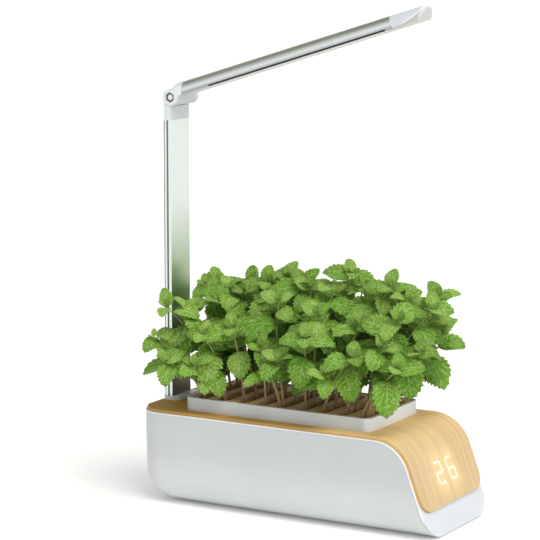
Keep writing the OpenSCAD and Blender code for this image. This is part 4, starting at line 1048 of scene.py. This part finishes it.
def leaf_table(rng, path, count):
    """Rows of place, azimuth, rise, bend, length, width, roll, fold, wave and tint down a stem.
    A stem is bare below a height that it draws, except near its tip."""
    far_side, far_lower, foot_bare, tip_leafy = 15, 22.0, 20, 12
    length = np.concatenate([[0], np.cumsum(np.linalg.norm(np.diff(path, axis=0), axis=1))])
    turn, bare, rows = rng.uniform(0, pi), rng.choice([142.0, 160.0, 170.0, 180.0]), []
    if path[0, 1] > far_side:
        bare -= far_lower
    for level, (down, size, rise, droop) in enumerate(PAIRS[:count]):
        back = length[-1] - down * rng.uniform(0.85, 1.15)
        at = np.array([np.interp(back, length, path[:, k]) for k in range(3)])
        if back < foot_bare or at[2] < bare and at[2] < path[-1, 2] - tip_leafy:
            continue
        for side in (0, 1):
            azimuth = turn + side * pi + rng.uniform(-0.4, 0.4)
            ahead = cos(azimuth) * LIGHT[0] + sin(azimuth) * LIGHT[1]
            aside = cos(azimuth) * LIGHT[1] - sin(azimuth) * LIGHT[0]
            big = size * rng.uniform(0.82, 1.14)
            rows.append([*at, azimuth,
                         radians(rise + rng.uniform(-12, 12)) - TURN_TO_LIGHT * ahead,
                         radians(droop * (1 - 0.25 * abs(aside)) + rng.uniform(-18, 18)),
                         big, big * rng.uniform(0.70, 0.84),
                         radians(rng.uniform(-20, 20)) - TURN_TO_LIGHT * aside,
                         rng.uniform(0.10, 0.34), rng.uniform(0, 6.28),
                         np.clip(0.8 - 0.10 * level + rng.uniform(-0.25, 0.25), 0.02, 1.0)])
        turn += pi / 2 + rng.uniform(-0.3, 0.3)
    return rows


def grow(rng, stems):
    """Points, faces, texture places, rim flags, tints and the number of stem faces of a clump."""
    side, top, end = 28, 205, 100
    table, points, faces, tint, count = [], [], [], [], 0
    for foot, tip, pairs in stems:
        path = stem_path(foot, tip)
        share = np.linspace(0, 1, len(path))
        thick = rng.uniform(0.85, 1.15) * (1.0 if pairs == len(PAIRS) else 0.6)
        ring, skin = tube(path, np.interp(share, [0, 0.5, 1], [1.6, 1.3, 0.7]) * thick)
        faces += [(face + count).tolist() for face in skin]
        points.append(ring)
        count += len(ring)
        woody = 0.45 if thick > 0.8 else 0.2
        tint.append(np.repeat(np.clip(share * 1.3 - woody, 0, 1), len(ring) // len(path)))
        table += leaf_table(rng, path, pairs)
    table = np.array(table)
    table = table[keeps_clear(leaves(table[:, :3], *table[:, 3:11].T, *PLAIN)[0])]
    seen = ((np.abs(table[:, 1]) > side) | (table[:, 2] > top)
            | (np.abs(table[:, 0] - TRAY_X) > end))
    uv, rim, stem_faces = [np.zeros((count, 2))], [np.zeros(count, bool)], len(faces)
    for chosen, size in ((seen, FINE), (~seen, PLAIN)):
        blade = leaf_mesh(table[chosen], *size)
        faces += (blade[1] + count).tolist()
        count += len(blade[0])
        for rows, more in zip((points, uv, rim, tint), (blade[0], *blade[2:])):
            rows.append(more)
    return *(np.concatenate(rows) for rows in (points, uv, rim, tint)), faces, stem_faces


def make_mint():
    """Three clumps of mint, each on its own slots; the leaves' rims stay crisp."""
    rng = np.random.default_rng(11)
    cuts = (TRAY_X - 39.0, TRAY_X + 61.0)
    shares = {"mint_rear": [], "mint_middle": [], "mint_front": []}
    for stem in plan_stems(rng):
        shares[list(shares)[int(np.searchsorted(cuts, stem[0][0]))]].append(stem)
    for node, stems in shares.items():
        points, uv, rim, tint, faces, stem_faces = grow(rng, stems)
        mesh = bpy.data.meshes.new(node + "_plants")
        mesh.from_pydata((points * MM).tolist(), [], faces)
        mesh.materials.append(FINISH["mint"])
        mesh.materials.append(FINISH["mint_stem"])
        kind = (np.arange(len(faces)) < stem_faces).astype(np.int32)
        mesh.polygons.foreach_set("material_index", kind)
        mesh.shade_smooth()
        crisp = mesh.attributes.new("sharp_edge", "BOOLEAN", "EDGE")
        crisp.data.foreach_set("value", both_ends(mesh, rim))
        store(mesh, "tint", "FLOAT", "POINT", "value", tint)
        corner = np.empty(len(mesh.loops), np.int32)
        mesh.loops.foreach_get("vertex_index", corner)
        layer = mesh.uv_layers.new(name="blade")
        layer.data.foreach_set("uv", uv[corner].astype(np.float32).ravel())
        add_object(node + "_plants", mesh, node)


# ---------------------------------------------------------------- post and arm

def make_post():
    """The drawn post, with its groove moved back and its rear corners drawn out."""
    groove_ahead, groove_deep, corner_reach = (4.0, 1.5), 2.0, 2.3
    post = merged_copy("post")
    p = vertices_mm(post)
    x, side = p[:, 0], np.abs(p[:, 1])
    groove = ((side > POST_HW - groove_deep) & (x > POST_FRONT - groove_ahead[0])
              & (x < POST_FRONT - groove_ahead[1]))
    p[groove, 0] -= GROOVE_BACK
    corner = (side > POST_HW - corner_reach) & (p[:, 0] < POST_REAR + corner_reach)
    place = np.stack([np.full(len(p), POST_REAR), np.sign(p[:, 1]) * POST_HW], axis=-1)
    p[corner, :2] = (place + (p[:, :2] - place) * CORNER_SHARE)[corner]
    post.vertices.foreach_set("co", (p * MM).astype(np.float32).ravel())
    post.update()
    soften(add_object("post_profile", post, "post", FINISH["polished_aluminium"]), 0.35)


def dress_nodes():
    """Every node that still shows gets the finish of its slot."""
    for name, piece in NODES.items():
        # the nut takes steel painted dark, as painted shade in its recess
        look = FINISH["recess_shaded_steel" if name == "hinge_nut" else SLOT_OF[name]]
        if piece.material_slots:
            for slot in piece.material_slots:
                slot.material = look
        else:
            piece.data.materials.append(look)


bpy.context.scene.view_settings.view_transform = "Standard"
make_camera()
make_world()
make_lights()
make_floor()
FINISH = make_finishes()
dress_nodes()
make_base()
make_cover()
make_tray()
dressed("post_collar", "collar", "white_shell", 0.6, 3)
make_post()
dressed("post_cap", "hinge_cap", "grey_plastic", 0.4)
dressed("arm_knuckle", "hinge_barrel", "grey_plastic", 0.8, 3)
dressed("arm_channel", "arm_profile", "satin_aluminium", 0.3)
dressed("arm_end_cap", "arm_nose", "cap_white", 0.5)
make_mint()
